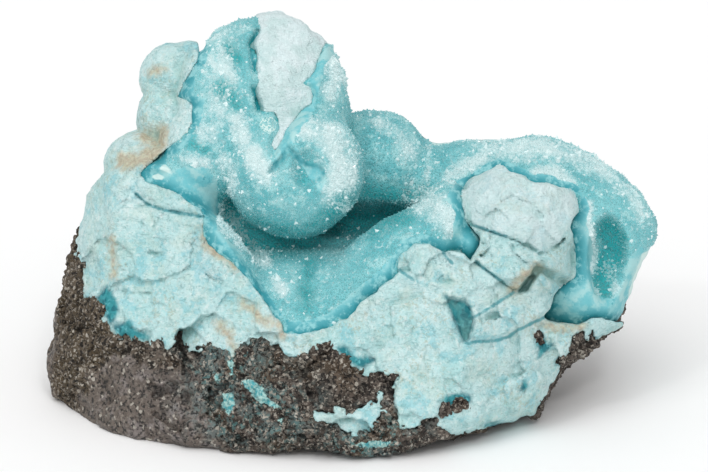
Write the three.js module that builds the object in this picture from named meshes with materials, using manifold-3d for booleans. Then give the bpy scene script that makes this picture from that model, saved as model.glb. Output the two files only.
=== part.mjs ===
// Quartz on chrysocolla: a mineral specimen as broken from its vein. A dark host rock carries a
// thick mass of pale chrysocolla, whose rounded top is coated with a sparkling crust of quartz.
// Everything is built face on, in millimetres: x runs right along the face, y runs into the
// specimen and z runs up the face. The finished group then leans back on its resting face.
import * as THREE from "three";
import { mergeVertices } from "three/addons/utils/BufferGeometryUtils.js";
import Module from "manifold-3d";

const wasm = await Module();
wasm.setup();

// Driving dimensions, in millimetres and degrees.
const CRUST = 1.2; // thickness of the quartz crust
const GAP = 0.3; // clearance between neighbouring minerals
const LEAN = 20; // how far the face leans back from upright
const FOOT = 3.6; // height of the resting face above the face frame's origin
const REACH = 40; // half length of the solids that only cut
const FACE_MIDDLE = 23; // height of the middle of the face
const ROUGHNESS = 0.25; // unevenness of the lobes and lumps
const BREAK_ROUGHNESS = 0.5; // unevenness of the broken faces
const BREAK_STEP = 6; // distance between the points of a broken face
const BODY_FRONT = 15; // how far the uncut body swells to the front
const BODY_BACK = 18; // how far the uncut body swells to the back
const BODY_MIDDLE = [-2, 17]; // the point [x, z] that the body's rings shrink towards
const BODY_RINGS = 4; // rings between the body's rim and its middle, on each side
const BODY_POWER = 5; // roundness of the body's rim: 2 is an ellipse, more is squarer
const HIDDEN_COARSER = 3; // how much coarser the faces under the crust are
const HOST_RISE = 0.62; // how steeply the host rock climbs towards the back
const CRUST_BACK = 9; // depth behind which the crust has broken away
const CAP_BACK = 5; // depth of the bare patch on the upper lobe
const CAP_PROUD = 0.1; // how far the bare patch stands out of the crust
const HOST_LIFT = 0.45; // clearance over the host rock, measured straight up

// Rounded lobes that the crust coats: centre, half sizes and turn in the face plane.
const LOBES = {
  upper: { at: [-8.3, 1.5, 36.5], size: [8.3, 8.5, 9.9], detail: 3 },
  upperFlank: { at: [-13.4, 1.5, 37.0], size: [5.2, 6.5, 7.6], detail: 2 },
  leftSaddle: { at: [-15.5, 1.0, 31.0], size: [5.2, 7.5, 5.6], detail: 2 },
  bulb: { at: [-5.9, -3.0, 29.5], size: [7.2, 7.6, 7.0], detail: 3 },
  core: { at: [-8.0, 7.0, 25.5], size: [12.0, 8.0, 12.0], detail: 2 },
  leftShelf: { at: [-19.0, 2.0, 26.0], size: [5.8, 8.5, 5.4], detail: 2 },
  backWall: { at: [2.8, 9.0, 28.6], size: [6.6, 8.0, 7.6], detail: 2 },
  saddle: { at: [12.0, 7.5, 25.5], size: [7.0, 8.0, 7.4], detail: 2 },
  right: { at: [19.5, 6.0, 24.5], size: [9.5, 9.0, 9.0], detail: 3 },
  rightEnd: { at: [25.0, 3.0, 22.5], size: [7.4, 7.5, 7.6], detail: 2 },
  rightFoot: { at: [23.4, 4.0, 17.0], size: [6.6, 9.0, 6.0], detail: 2 },
  ridge: { at: [4.5, -4.0, 19.0], size: [9.0, 7.0, 5.0], turn: 38, detail: 2 },
  leftWall: { at: [-13.2, -4.0, 18.0], size: [11.0, 8.5, 3.7], turn: -56, detail: 2 },
  rim: { at: [10.2, -3.0, 24.0], size: [3.2, 6.8, 4.4], detail: 2 },
  bed: { at: [-4.5, 4.0, 8.0], size: [24.0, 17.0, 14.0], detail: 2 },
};

// Lumps of bare chrysocolla that stand out of the broken body.
const LUMPS = {
  block: { at: [17.4, -1.0, 24.2], size: [7.2, 10.5, 6.8], turn: 15, detail: 2 },
  slabs: { at: [17.0, -1.0, 19.6], size: [6.6, 10.8, 5.0], turn: -12, detail: 2 },
  upperKnob: { at: [-18.6, 4.2, 39.4], size: [3.7, 4.0, 3.6], detail: 2 },
  topKnob: { at: [-16.8, 4.2, 41.0], size: [2.6, 3.0, 2.2], detail: 2 },
  lowerKnob: { at: [-19.0, 4.2, 35.0], size: [3.6, 4.5, 4.0], detail: 2 },
  stainedKnob: { at: [-21.6, 3.8, 30.6], size: [4.2, 5.0, 3.4], detail: 2 },
};

// Hollows in the coated lobes.
const HOLLOWS = {
  recess: { at: [1.5, 1.0, 24.3], size: [8.5, 5.0, 2.0], detail: 2 },
  endHollow: { at: [27.0, -4.2, 20.3], size: [2.2, 3.6, 4.8], detail: 2 },
  pit: { at: [-4.4, -10.2, 29.6], size: [1.8, 1.8, 2.2], detail: 2 },
};

// Flat breaks: a point [x, z] on each, its depth there, and how depth changes along x and z.
const FRONT_BREAKS = [
  { at: [-18, 20], depth: -8.0, slope: [-0.4, 0.12] },
  { at: [-25.3, 20], depth: -5.1, slope: [-1.2, 0] },
  { at: [5, 10], depth: -13.0, slope: [0, 0.15] },
  { at: [11, 9], depth: -12.9, slope: [0.55, -0.08] },
];
const BACK_BREAKS = [
  { at: [0, 20], depth: 15, slope: [0.05, 0.02] },
  { at: [14, 18], depth: 13, slope: [-0.4, 0.05] },
  { at: [-20, 18], depth: 13, slope: [0.5, -0.05] },
  { at: [-8, 36], depth: 11, slope: [0.1, -0.45] },
];

// The broken body's outline seen face on, [x, z], round from the lower left.
const OUTLINE = [
  [-25.5, 0.3], [-28.0, 1.0], [-30.0, 4.8], [-31.3, 5.3], [-32.2, 6.6], [-32.5, 9.0],
  [-32.0, 13.0], [-31.0, 15.2], [-29.0, 22.4], [-27.0, 28.4], [-25.0, 30.6], [-22.0, 32.0],
  [-14.0, 34.0], [-4.0, 36.0], [4.0, 35.0], [9.0, 32.0], [13.5, 32.4], [19.5, 33.1],
  [24.0, 31.7], [27.5, 30.1], [30.2, 27.4], [32.1, 24.4], [31.3, 20.6], [29.8, 16.5],
  [28.6, 13.0], [25.0, 10.8], [21.6, 8.8], [20.0, 5.4], [17.0, 3.3], [10.0, 1.9], [5.0, 0.3],
  [2.0, -0.4], [-3.5, 0.8], [-12.0, -0.3], [-18.0, 0.6],
];

// The crust's broken edge seen face on, [x, z], from the upper left down and round to the right.
const CRUST_EDGE = [
  [-16.0, 43.2], [-16.6, 40.6], [-17.4, 38.8], [-16.4, 36.2], [-17.6, 32.8], [-21.6, 30.6],
  [-23.2, 29.3], [-19.2, 27.3], [-15.2, 25.4], [-15.4, 23.4], [-11.6, 19.2], [-9.4, 16.4],
  [-7.6, 13.6], [-5.6, 12.4], [-2.2, 13.0], [0.4, 14.9], [3.2, 17.7], [4.9, 18.6], [5.6, 20.6],
  [7.4, 21.9], [9.6, 21.0], [12.2, 20.4], [13.4, 22.0], [12.3, 24.4], [11.6, 26.4], [12.0, 28.2],
  [15.2, 30.1], [18.4, 28.3], [20.8, 28.4], [22.8, 27.6], [24.3, 25.7], [23.2, 23.6],
  [23.8, 21.6], [23.4, 18.6], [21.4, 16.8], [20.3, 14.3], [24.4, 13.4], [26.8, 14.2],
  [28.1, 13.5], [29.8, 17.0], [30.6, 19.4],
];

// Points above the specimen that close the crust's region, [x, z].
const CRUST_SKY = [[45.0, 19.4], [45.0, 60.0], [-16.0, 60.0]];

// The bare patch on the upper lobe, [x, z], and a point in its middle.
const CAP_MIDDLE = [-7, 40];
const CAP_OUTLINE = [
  [-9.6, 45.4], [-10.2, 43.6], [-10.3, 42.0], [-9.9, 39.6], [-10.0, 37.2], [-9.2, 35.4],
  [-8.0, 33.4], [-7.0, 33.6], [-5.4, 35.8], [-4.2, 36.4], [-4.0, 38.0], [-4.7, 38.8],
  [-3.3, 40.6], [-3.0, 42.6], [-2.0, 43.6], [-4.0, 48.0], [-9.0, 48.0],
];

// Where the block stands alone above the broken body, [x, z], and how deep that goes.
const BLOCK_ROOM = [[9.0, 21.5], [13.0, 20.5], [18.0, 19.8], [21.0, 18.4], [25.5, 15.0], [25.5, 45.0], [9.0, 45.0]];
const BLOCK_ROOM_BACK = 4;

// The host rock's top at the front of the face, [x, z], from left to right.
const HOST_TOP = [
  [-40, 24.0], [-29.4, 21.8], [-28.2, 16.2], [-26.2, 15.6], [-24.6, 12.6], [-21.8, 11.2],
  [-18.0, 12.0], [-14.0, 11.2], [-12.4, 9.6], [-10.4, 11.4], [-5.0, 10.2], [-2.8, 11.4],
  [0.0, 9.2], [4.6, 7.8], [6.0, 3.0], [10.0, 4.6], [13.0, 3.6], [16.0, 1.0], [40, -4.0],
];

// A small waviness that keeps lobes and breaks from looking machined, from -1 to 1.
function waviness({ x, y, z }) {
  const broad = Math.sin(0.9 * x + 1.7 * Math.sin(0.5 * z)) * Math.sin(0.8 * y + 0.7 * z + 1.1);
  const fine = Math.sin(2.1 * x + 0.9 * y) * Math.sin(1.9 * z - 1.3 * y + 0.4);
  return 0.65 * broad + 0.35 * fine;
}

// A closed geometry as a solid that can be joined and cut.
function solidOf(geometry) {
  geometry.deleteAttribute("normal");
  geometry.deleteAttribute("uv");
  const merged = mergeVertices(geometry, 1e-3);
  return new wasm.Manifold(
    new wasm.Mesh({
      numProp: 3,
      vertProperties: merged.attributes.position.array,
      triVerts: new Uint32Array(merged.index.array),
    }),
  );
}

// An uneven ellipsoid, grown or shrunk by a thickness measured square to its surface.
function lump({ at, size, turn = 0, detail }, growth = 0) {
  const geometry = new THREE.IcosahedronGeometry(1, detail);
  const centre = new THREE.Vector3(...at);
  const half = new THREE.Vector3(...size);
  const roll = new THREE.Matrix4().makeRotationY(-THREE.MathUtils.degToRad(turn));
  const points = geometry.attributes.position;
  for (let i = 0; i < points.count; i++) {
    const direction = new THREE.Vector3().fromBufferAttribute(points, i).normalize();
    const outward = direction.clone().divide(half).normalize().applyMatrix4(roll);
    const point = direction.clone().multiply(half).applyMatrix4(roll).add(centre);
    point.addScaledVector(outward, growth + ROUGHNESS * waviness(point));
    points.setXYZ(i, ...point);
  }
  return solidOf(geometry);
}

function joined(solids) {
  return solids.reduce((sum, next) => sum.add(next));
}

// All lumps of a group as one solid; a hidden copy is made coarser.
function lumps(group, growth = 0, coarser = 0) {
  const each = Object.values(group).map((one) => {
    const detail = Math.max(1, one.detail - coarser);
    return lump({ ...one, detail }, growth);
  });
  return joined(each);
}

// A face outline, [x, z], carried straight through the specimen from one depth to another.
function prism(outline, fromDepth, toDepth) {
  const shape = new THREE.Shape(outline.map(([x, z]) => new THREE.Vector2(x, z)));
  const options = { depth: toDepth - fromDepth, bevelEnabled: false };
  const geometry = new THREE.ExtrudeGeometry(shape, options);
  geometry.translate(0, 0, -toDepth);
  geometry.rotateX(Math.PI / 2);
  return solidOf(geometry);
}

// The broken body before its flat breaks: the outline swelling to a rounded front and back.
function swollenBody() {
  const middle = new THREE.Vector2(...BODY_MIDDLE);
  const rim = OUTLINE.map(([x, z]) => new THREE.Vector2(x, z));
  const profile = [];
  for (let ring = BODY_RINGS; ring >= -BODY_RINGS; ring--) {
    const lean = (ring / BODY_RINGS) * (Math.PI / 2);
    const reach = Math.cos(lean) ** (2 / BODY_POWER);
    const rise = Math.abs(Math.sin(lean)) ** (2 / BODY_POWER);
    profile.push([reach, rise * (ring < 0 ? -BODY_FRONT : BODY_BACK)]);
  }
  const geometry = new THREE.PlaneGeometry(1, 1, rim.length, 2 * BODY_RINGS);
  const points = geometry.attributes.position;
  for (let i = 0; i < points.count; i++) {
    const around = i % (rim.length + 1);
    const [reach, depth] = profile[Math.floor(i / (rim.length + 1))];
    const place = middle.clone().lerp(rim[around % rim.length], reach);
    points.setXYZ(i, place.x, depth, place.y);
  }
  return solidOf(geometry);
}

// The depth of one flat break at a place on the face.
function breakDepth({ at, depth, slope }, x, z) {
  return depth + slope[0] * (x - at[0]) + slope[1] * (z - at[1]);
}

// Everything beyond a group of flat breaks, towards the front (side -1) or the back (side 1).
function beyond(breaks, side) {
  const steps = Math.round((2 * REACH) / BREAK_STEP);
  const geometry = new THREE.BoxGeometry(2 * REACH, REACH, 2 * REACH, steps, 1, steps);
  const points = geometry.attributes.position;
  for (let i = 0; i < points.count; i++) {
    const x = points.getX(i);
    const z = points.getZ(i) + FACE_MIDDLE;
    const depths = breaks.map((one) => breakDepth(one, x, z));
    const deepest = side < 0 ? Math.max(...depths) : Math.min(...depths);
    const rough = BREAK_ROUGHNESS * waviness({ x: 0.55 * x, y: 3 * side, z: 0.55 * z });
    const onBreak = points.getY(i) * side < 0;
    points.setY(i, onBreak ? deepest + rough : side * 2 * REACH);
    points.setZ(i, z);
  }
  return solidOf(geometry);
}

// The depth of the broken front at a place on the face.
function frontDepth(x, z) {
  return Math.max(...FRONT_BREAKS.map((one) => breakDepth(one, x, z)));
}

// The host rock's share: all that lies below a surface climbing towards the back, which meets the
// broken front along HOST_TOP.
function hostShare(lift = 0) {
  const outline = HOST_TOP.map(([x, z]) => {
    return new THREE.Vector2(x, z + lift - HOST_RISE * frontDepth(x, z));
  });
  outline.push(new THREE.Vector2(2 * REACH, -2 * REACH), new THREE.Vector2(-2 * REACH, -2 * REACH));
  const options = { depth: 2 * REACH, bevelEnabled: false };
  const geometry = new THREE.ExtrudeGeometry(new THREE.Shape(outline), options);
  geometry.translate(0, 0, -REACH);
  geometry.rotateX(Math.PI / 2);
  geometry.applyMatrix4(new THREE.Matrix4().makeShear(0, 0, 0, HOST_RISE, 0, 0));
  return solidOf(geometry);
}

// All that lies under the resting face, which is level once the specimen leans back.
function underFoot() {
  const geometry = new THREE.BoxGeometry(4 * REACH, 4 * REACH, 2 * REACH);
  geometry.translate(0, 0, FOOT - REACH);
  geometry.rotateX(THREE.MathUtils.degToRad(LEAN));
  return solidOf(geometry);
}

// The region inside the crust's broken edge, and the bare patch within it.
const crustRegion = prism([...CRUST_EDGE, ...CRUST_SKY], -REACH, CRUST_BACK);
const clearedRegion = prism([...CRUST_EDGE, ...CRUST_SKY], -REACH, CRUST_BACK + GAP);
const patchRegion = prism(CAP_OUTLINE, -REACH, CAP_BACK);
const breaks = joined([beyond(FRONT_BREAKS, -1), beyond(BACK_BREAKS, 1), underFoot()]);

// The quartz crust: the skin of the coated lobes inside its broken edge.
function quartzCrust() {
  const outside = lumps(LOBES).subtract(lumps(HOLLOWS));
  const inside = lumps(LOBES, -CRUST, HIDDEN_COARSER).subtract(lumps(HOLLOWS, CRUST));
  return outside.subtract(inside).intersect(crustRegion).subtract(patchRegion).subtract(breaks);
}

// Host rock and chrysocolla together, cleared away where the crust lies and in front of it.
function coreMass() {
  const backing = lumps(LOBES, -CRUST - GAP, HIDDEN_COARSER).subtract(lumps(HOLLOWS, CRUST + GAP));
  const blockRoom = prism(BLOCK_ROOM, -REACH, BLOCK_ROOM_BACK);
  const bare = swollenBody().subtract(blockRoom).add(lumps(LUMPS)).subtract(clearedRegion);
  const capRegion = prism(CAP_OUTLINE.map(towardsCapMiddle), -REACH, CAP_BACK - GAP);
  const cap = lumps({ upper: LOBES.upper, bulb: LOBES.bulb }, CAP_PROUD).intersect(capRegion);
  return backing.add(bare).add(cap).subtract(breaks);
}

// Draws a point of the bare patch's outline in by the clearance.
function towardsCapMiddle([x, z]) {
  const middle = new THREE.Vector2(...CAP_MIDDLE);
  const point = new THREE.Vector2(x, z);
  const inward = middle.sub(point).normalize();
  return point.addScaledVector(inward, GAP).toArray();
}

// A solid's faces as a three.js geometry.
function geometryOf(solid) {
  const { vertProperties, triVerts } = solid.getMesh();
  const geometry = new THREE.BufferGeometry();
  geometry.setAttribute("position", new THREE.BufferAttribute(vertProperties, 3));
  geometry.setIndex(new THREE.BufferAttribute(triVerts, 1));
  return geometry;
}

// The faces of a solid's largest piece. Small chips that a cut left behind are dropped, and so is
// what hangs on by an edge alone, which shows once the faces are read back as a solid.
function mainPiece(solid) {
  let pieces = solid.decompose();
  let geometry;
  do {
    const largest = pieces.reduce((most, next) => (next.volume() > most.volume() ? next : most));
    geometry = geometryOf(largest);
    pieces = solidOf(geometry.clone()).decompose();
  } while (pieces.length > 1);
  return geometry;
}

// A named sub-part with its own material.
function subPart(name, solid, color, roughness) {
  const geometry = mainPiece(solid);
  geometry.computeVertexNormals();
  const material = new THREE.MeshStandardMaterial({ color, roughness, metalness: 0 });
  const mesh = new THREE.Mesh(geometry, material);
  mesh.name = name;
  return mesh;
}

const mass = coreMass();
const face = new THREE.Group();
face.add(subPart("host_rock", mass.intersect(hostShare()), 0x55493f, 0.9));
face.add(subPart("chrysocolla", mass.subtract(hostShare(HOST_LIFT)), 0xbfe3df, 0.6));
face.add(subPart("quartz_druse", quartzCrust(), 0x5fb3b8, 0.3));
face.rotation.x = -THREE.MathUtils.degToRad(LEAN);
face.position.z = -FOOT;

const specimen = new THREE.Group();
specimen.add(face);

export default specimen;
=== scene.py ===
# Quartz on chrysocolla: the looks of the mineral specimen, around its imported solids.
# Shapes are worked out in millimetres face on, as the part's source does: x runs right along the
# broken face, y runs into the specimen and z runs up the face. A piece's mesh is then leaned back
# and scaled to metres. Solids are fields on a grid, negative inside, turned into meshes here.
import math

import bpy
import numpy as np
from mathutils import Matrix, Vector


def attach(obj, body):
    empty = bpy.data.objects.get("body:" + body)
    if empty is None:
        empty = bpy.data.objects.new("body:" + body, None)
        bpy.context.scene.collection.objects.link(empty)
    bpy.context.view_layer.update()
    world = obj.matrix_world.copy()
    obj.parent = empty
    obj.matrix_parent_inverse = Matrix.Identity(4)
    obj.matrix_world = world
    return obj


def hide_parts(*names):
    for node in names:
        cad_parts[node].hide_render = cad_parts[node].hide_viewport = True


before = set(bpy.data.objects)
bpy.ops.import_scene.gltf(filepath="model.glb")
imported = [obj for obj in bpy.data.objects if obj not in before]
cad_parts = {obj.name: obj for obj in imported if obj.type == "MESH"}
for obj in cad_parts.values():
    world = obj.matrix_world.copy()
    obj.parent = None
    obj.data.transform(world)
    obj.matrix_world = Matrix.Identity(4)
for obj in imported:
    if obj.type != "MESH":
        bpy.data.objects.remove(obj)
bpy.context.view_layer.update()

# Driving dimensions, in millimetres unless the name says otherwise.
MM = 0.001
LEAN = math.radians(20)
FOOT = 3.6
CELL = 0.2
LOW = (-34.5, -16.5, -2.5)
HIGH = (34.5, 18.5, 48.5)
CRUST = 1.1
CRUST_BACK = 9.0
CAP_BACK = 5.0
CAP_STEP = 0.7
BACK_WANDER = 1.6
HOST_RISE = 0.62
EDGE_ROUNDING = 4.0
BLOCK_ROOM_BACK = 4.0
BOWL_SLOPE = 1.1
BOWL_DEEP = 9.0
HIDDEN_DEPTH = -0.9
HIDDEN_CELL = 1.2
BACK_START = 6.0
BACK_CELL = 0.42
CRUMB_VERTICES = 150
KEY_SPAN = 4096
CAVITY_REACH = 1.5
SHADE_REACH = 5.0
CRYSTAL_SPACING = 0.23
CRYSTAL_RADIUS = 0.12
CRYSTAL_HEIGHT = 0.13
CRYSTAL_SUNK = 0.06
CRYSTAL_SIDES = 6
CRYSTAL_VERTICES = CRYSTAL_SIDES + 1
CRYSTALS_PER_MESH = 30000
# A few larger crystals coloured near white as painted glints: their share, and their size against the
# others.
WHITE_GLINT_SHARE = 0.012
WHITE_GLINT_RADIUS = 1.35
WHITE_GLINT_HEIGHT = 1.6
QUARTZ_IOR = 1.544
CAMERA_DISTANCE = 1500.0
VIEW_WIDTH = 708 * 0.105
VIEW_CENTRE = (0.315, 22.68)
WORLD_STRENGTH = 0.62
SEED = 7

# How softly shapes run into each other, in millimetres.
BREAK_BLEND = 1.5
BODY_BLEND = 2.0
LOBE_BLEND = 0.9
HOLLOW_BLEND = 0.7
BLOCK_BLEND = 0.4
BLOCK_CUT_BLEND = 0.8
KNOB_BLEND = 0.5

# Lights: the way to each from the specimen, its width across the sky in degrees and its power.
LIGHTS = {
    "key": ((-0.14, -0.48, 0.84), 60, 1.25),
    "spark": ((0.15, -0.70, 0.70), 8, 0.30),
    "glint": ((-0.45, -0.60, 0.65), 6, 0.20),
}

# Rounded lobes that the crust coats: centre, half sizes and turn in the face plane, in degrees.
LOBES = {
    "upper": ((-8.3, 1.5, 36.5), (8.3, 8.5, 9.9), 0),
    "upperFlank": ((-13.4, 1.5, 37.0), (5.2, 6.5, 7.6), 0),
    "leftSaddle": ((-15.5, 1.0, 31.0), (5.2, 7.5, 5.6), 0),
    "bulb": ((-5.9, -3.0, 29.5), (7.2, 7.6, 7.0), 0),
    "core": ((-8.0, 7.0, 25.5), (12.0, 8.0, 12.0), 0),
    "leftShelf": ((-19.0, 2.0, 26.0), (5.8, 8.5, 5.4), 0),
    "backWall": ((2.8, 9.0, 28.6), (6.6, 8.0, 7.6), 0),
    "saddle": ((12.0, 7.5, 25.5), (7.0, 8.0, 7.4), 0),
    "right": ((19.5, 6.0, 24.5), (9.5, 9.0, 9.0), 0),
    "rightEnd": ((25.0, 3.0, 22.5), (7.4, 7.5, 7.6), 0),
    "rightFoot": ((23.4, 4.0, 17.0), (6.6, 9.0, 6.0), 0),
    "ridge": ((4.5, -4.0, 19.0), (9.0, 7.0, 5.0), 38),
    "leftWall": ((-13.2, -4.0, 18.0), (11.0, 8.5, 3.7), -56),
    "rim": ((10.2, -3.0, 24.0), (3.2, 6.8, 4.4), 0),
    "shelfTip": ((-20.6, -1.0, 28.3), (3.6, 6.4, 2.4), 20),
    "cleft": ((12.3, -4.0, 21.6), (2.0, 5.4, 2.4), 0),
    "bed": ((-4.5, 4.0, 8.0), (24.0, 17.0, 14.0), 0),
}
# The lobes that back on to the broken face.
WALL_LOBES = ("leftShelf", "shelfTip", "rightFoot", "ridge", "leftWall", "rim", "cleft", "bed")
HOLLOWS = {
    "recess": ((1.5, 1.0, 24.3), (8.5, 5.0, 2.0), 0),
    "endHollow": ((27.0, -4.2, 20.3), (2.2, 3.6, 4.8), 0),
    "pit": ((-4.4, -10.2, 29.6), (1.8, 1.8, 2.2), 0),
}
KNOBS = {
    "upperKnob": ((-18.6, 3.4, 39.4), (3.7, 4.0, 3.6), 0),
    "topKnob": ((-16.8, 3.4, 41.0), (2.6, 3.0, 2.2), 0),
    "lowerKnob": ((-19.0, 3.4, 35.0), (3.6, 4.5, 4.0), 0),
    "stainedKnob": ((-21.8, 2.4, 30.4), (4.2, 5.4, 3.4), 0),
}
BLOCK = ((17.4, -1.0, 24.2), (7.2, 10.5, 6.8), 15)
SLABS = ((17.0, -1.0, 19.6), (6.6, 10.8, 5.0), -12)
# The room that the crust's hollow leaves round the block, (x, z).
BLOCK_ROOM = (
    (9.0, 21.5), (13.0, 20.5), (18.0, 19.8), (21.0, 18.4), (25.5, 15.0), (25.5, 45.0), (9.0, 45.0),
)
# Flat cuts that shape the block: a place on each and the way it faces.
BLOCK_CUTS = (
    ((17.5, -10.4, 26.0), (-0.05, -1.0, 0.45)),
    ((21.5, -9.0, 25.0), (0.75, -1.0, 0.15)),
    ((13.8, -9.6, 26.0), (-0.65, -1.0, 0.1)),
    ((17.0, -10.6, 21.0), (0.05, -1.0, -0.28)),
)

# Flat breaks: a place (x, z) on each, its depth there, and how depth changes along x and z.
FRONT_BREAKS = (
    ((-18, 20), -8.0, (-0.4, 0.12)),
    ((-25.3, 20), -5.1, (-1.2, 0)),
    ((5, 10), -13.0, (0, 0.15)),
    ((11, 9), -12.9, (0.55, -0.08)),
)
BACK_BREAKS = (
    ((0, 20), 15, (0.05, 0.02)),
    ((14, 18), 13, (-0.4, 0.05)),
    ((-20, 18), 13, (0.5, -0.05)),
    ((-8, 36), 11, (0.1, -0.45)),
)

# The top of the broken rock, behind and beside which only lobes and knobs stand, (x, z).
BODY_TOP = (
    (-45, -20), (-45, 28), (-27.2, 28), (-25, 30.2), (-22, 31.6), (-14, 34), (-4, 36), (45, 36),
    (45, -20),
)

# The specimen's outline seen face on, (x, z), clockwise from the lower left.
SILHOUETTE = (
    (-25.5, 0.3), (-27.2, 0.7), (-28, 1.3), (-29, 2.6), (-30.2, 5.1), (-31.6, 5.8), (-32.1, 7.3),
    (-32.5, 8.5), (-32, 12.5), (-31, 15.6), (-30.3, 18), (-29.3, 20.9), (-28.3, 24.5),
    (-27.2, 27.5), (-26.4, 29.3), (-25, 30.6), (-24.3, 31.6), (-22.9, 32.6), (-22.2, 35.3),
    (-22, 38), (-21.6, 40.4), (-20.2, 42.2), (-17, 43), (-15.8, 42.4), (-14.5, 44), (-12.7, 45.7),
    (-10.6, 45.7), (-9, 46.4), (-7, 46.3), (-5, 45.1), (-3, 43.9), (-1.7, 42.5), (-1, 40.7),
    (-0.3, 38.8), (-0.3, 37.8), (0.3, 36.3), (2.3, 36.2), (5.3, 35.6), (6.4, 34.5), (7.6, 33.2),
    (9, 32.3), (12.5, 32.7), (17, 33.2), (20, 33.4), (23, 32.6), (25, 31.4), (27.8, 30.2),
    (30.1, 27.9), (32.5, 24.4), (32.2, 22.8), (30.7, 20), (30, 17.7), (29.2, 15), (28.5, 13.1),
    (26.4, 11.9), (24.2, 10.3), (22.3, 9), (21.5, 8), (20.1, 5.4), (19, 3.9), (16, 3),
    (12.5, 2.1), (9.7, 1.8), (7, 0.9), (4, 0), (2, -0.3), (-2, 0.1), (-5, 0.8), (-8, 0.2),
    (-12.5, -0.2), (-18.5, 0.6),
)

# The crust's broken edge seen face on, (x, z), from the upper left round to the right.
CRUST_EDGE = (
    (-15.9, 42.3), (-16.2, 40.7), (-17.3, 39), (-18, 37.4), (-16.5, 36.5), (-16.8, 34.5),
    (-18, 32.5), (-20, 31.2), (-21.8, 29.4), (-21.4, 28.4), (-19.4, 27.6), (-15.6, 25.4),
    (-15.2, 22.6), (-13.5, 20.7), (-11.8, 19.5), (-10.4, 17.8), (-9.2, 16.3), (-8, 14.5),
    (-7.1, 13.5), (-6.9, 12.7), (-5.4, 12.4), (-3, 13), (-1.9, 13.1), (0.3, 15), (2.2, 16.8),
    (5, 18.8), (5.2, 20.5), (6.6, 21.8), (8.2, 21.9), (9.8, 20.9), (11.5, 21.3), (12.5, 20),
    (13.5, 22.2), (12, 24.2), (11.5, 25.6), (11.6, 27.2), (12.2, 28.3), (14.2, 29.5),
    (15.5, 30.1), (17.2, 29.3), (18.5, 28.4), (20.5, 28.2), (23.2, 27.2), (23.9, 25.3),
    (22.8, 23.5), (23.6, 21.8), (23.6, 18.5), (21.6, 17.1), (20.2, 14.3), (21.5, 13.7),
    (23.5, 13.4), (25, 14), (27, 14), (28, 13.6), (29, 13.9), (45, 14.6), (45, 60),
    (-15.9, 60),
)
# The bowl that the crust lines, inside the broken band of its edge, (x, z).
BOWL = (
    (-15.1, 60), (-15.2, 42.5), (-15.4, 40.9), (-16.4, 39.3), (-16.9, 37.6), (-15.6, 36.9),
    (-15.9, 34.6), (-17.1, 32.3), (-19.6, 30.7), (-19, 29.6), (-15.2, 29.6), (-14.2, 28.8),
    (-14.2, 23.5), (-12.2, 21.5), (-10.4, 19), (-8.8, 16.8), (-7.3, 14.6), (-6.2, 13.8),
    (-5, 13.6), (-2.9, 14.1), (-1, 15.3), (1, 17.3), (3, 19), (4.6, 20.6), (5.8, 22.1),
    (7.5, 22.9), (9.5, 22.3), (10.5, 22.5), (11.2, 25), (10.1, 26.4), (11, 27.9), (14, 30),
    (15.6, 30.8), (17.5, 30), (19, 29), (20.6, 28.9), (23.4, 28.1), (24.5, 27.2), (24.9, 26),
    (24.7, 24), (25.2, 21), (25, 18.5), (25.2, 16.2), (27.5, 15.8), (28.6, 17), (29.3, 20.5),
    (30.2, 21.4), (45, 22), (45, 60),
)
CAP_OUTLINE = (
    (-10, 46.1), (-9.5, 44.7), (-10.4, 42.5), (-10, 41.3), (-9.8, 39), (-10.1, 37.8),
    (-9.5, 35.7), (-8, 35.4), (-7.5, 34), (-8.2, 32.2), (-8.1, 31.3), (-7.3, 32.5), (-6.3, 34.5),
    (-5.3, 35.7), (-4.05, 36.6), (-4.3, 38.2), (-4.9, 38.6), (-3.9, 40.2), (-3.4, 41.4),
    (-2.3, 43), (-2.3, 50), (-10, 50),
)
HOST_TOP = (
    (-36, 24), (-29, 21.5), (-28.4, 19), (-28.1, 16), (-26.6, 16.2), (-25.8, 13.9), (-24.4, 12),
    (-23.4, 12.7), (-22, 11), (-20.1, 11.9), (-19, 11), (-17.8, 12.4), (-16.9, 10.7),
    (-14.3, 11.3), (-12.6, 10), (-12.2, 8.6), (-11.8, 10.8), (-10.2, 11.6), (-8.6, 11.3),
    (-6, 10.3), (-4.3, 10.2), (-4, 11), (-2.5, 11.7), (-0.9, 9.9), (1, 8.7), (4.9, 8.2),
    (3.9, 6.9), (4.5, 5), (5, 3), (7.4, 2.7), (8.8, 4.4), (11, 5.5), (13, 5), (10, 4.2),
    (8.8, 2.9), (10, 1.9), (15, 2.3), (16, -1), (36, -6),
)


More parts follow.
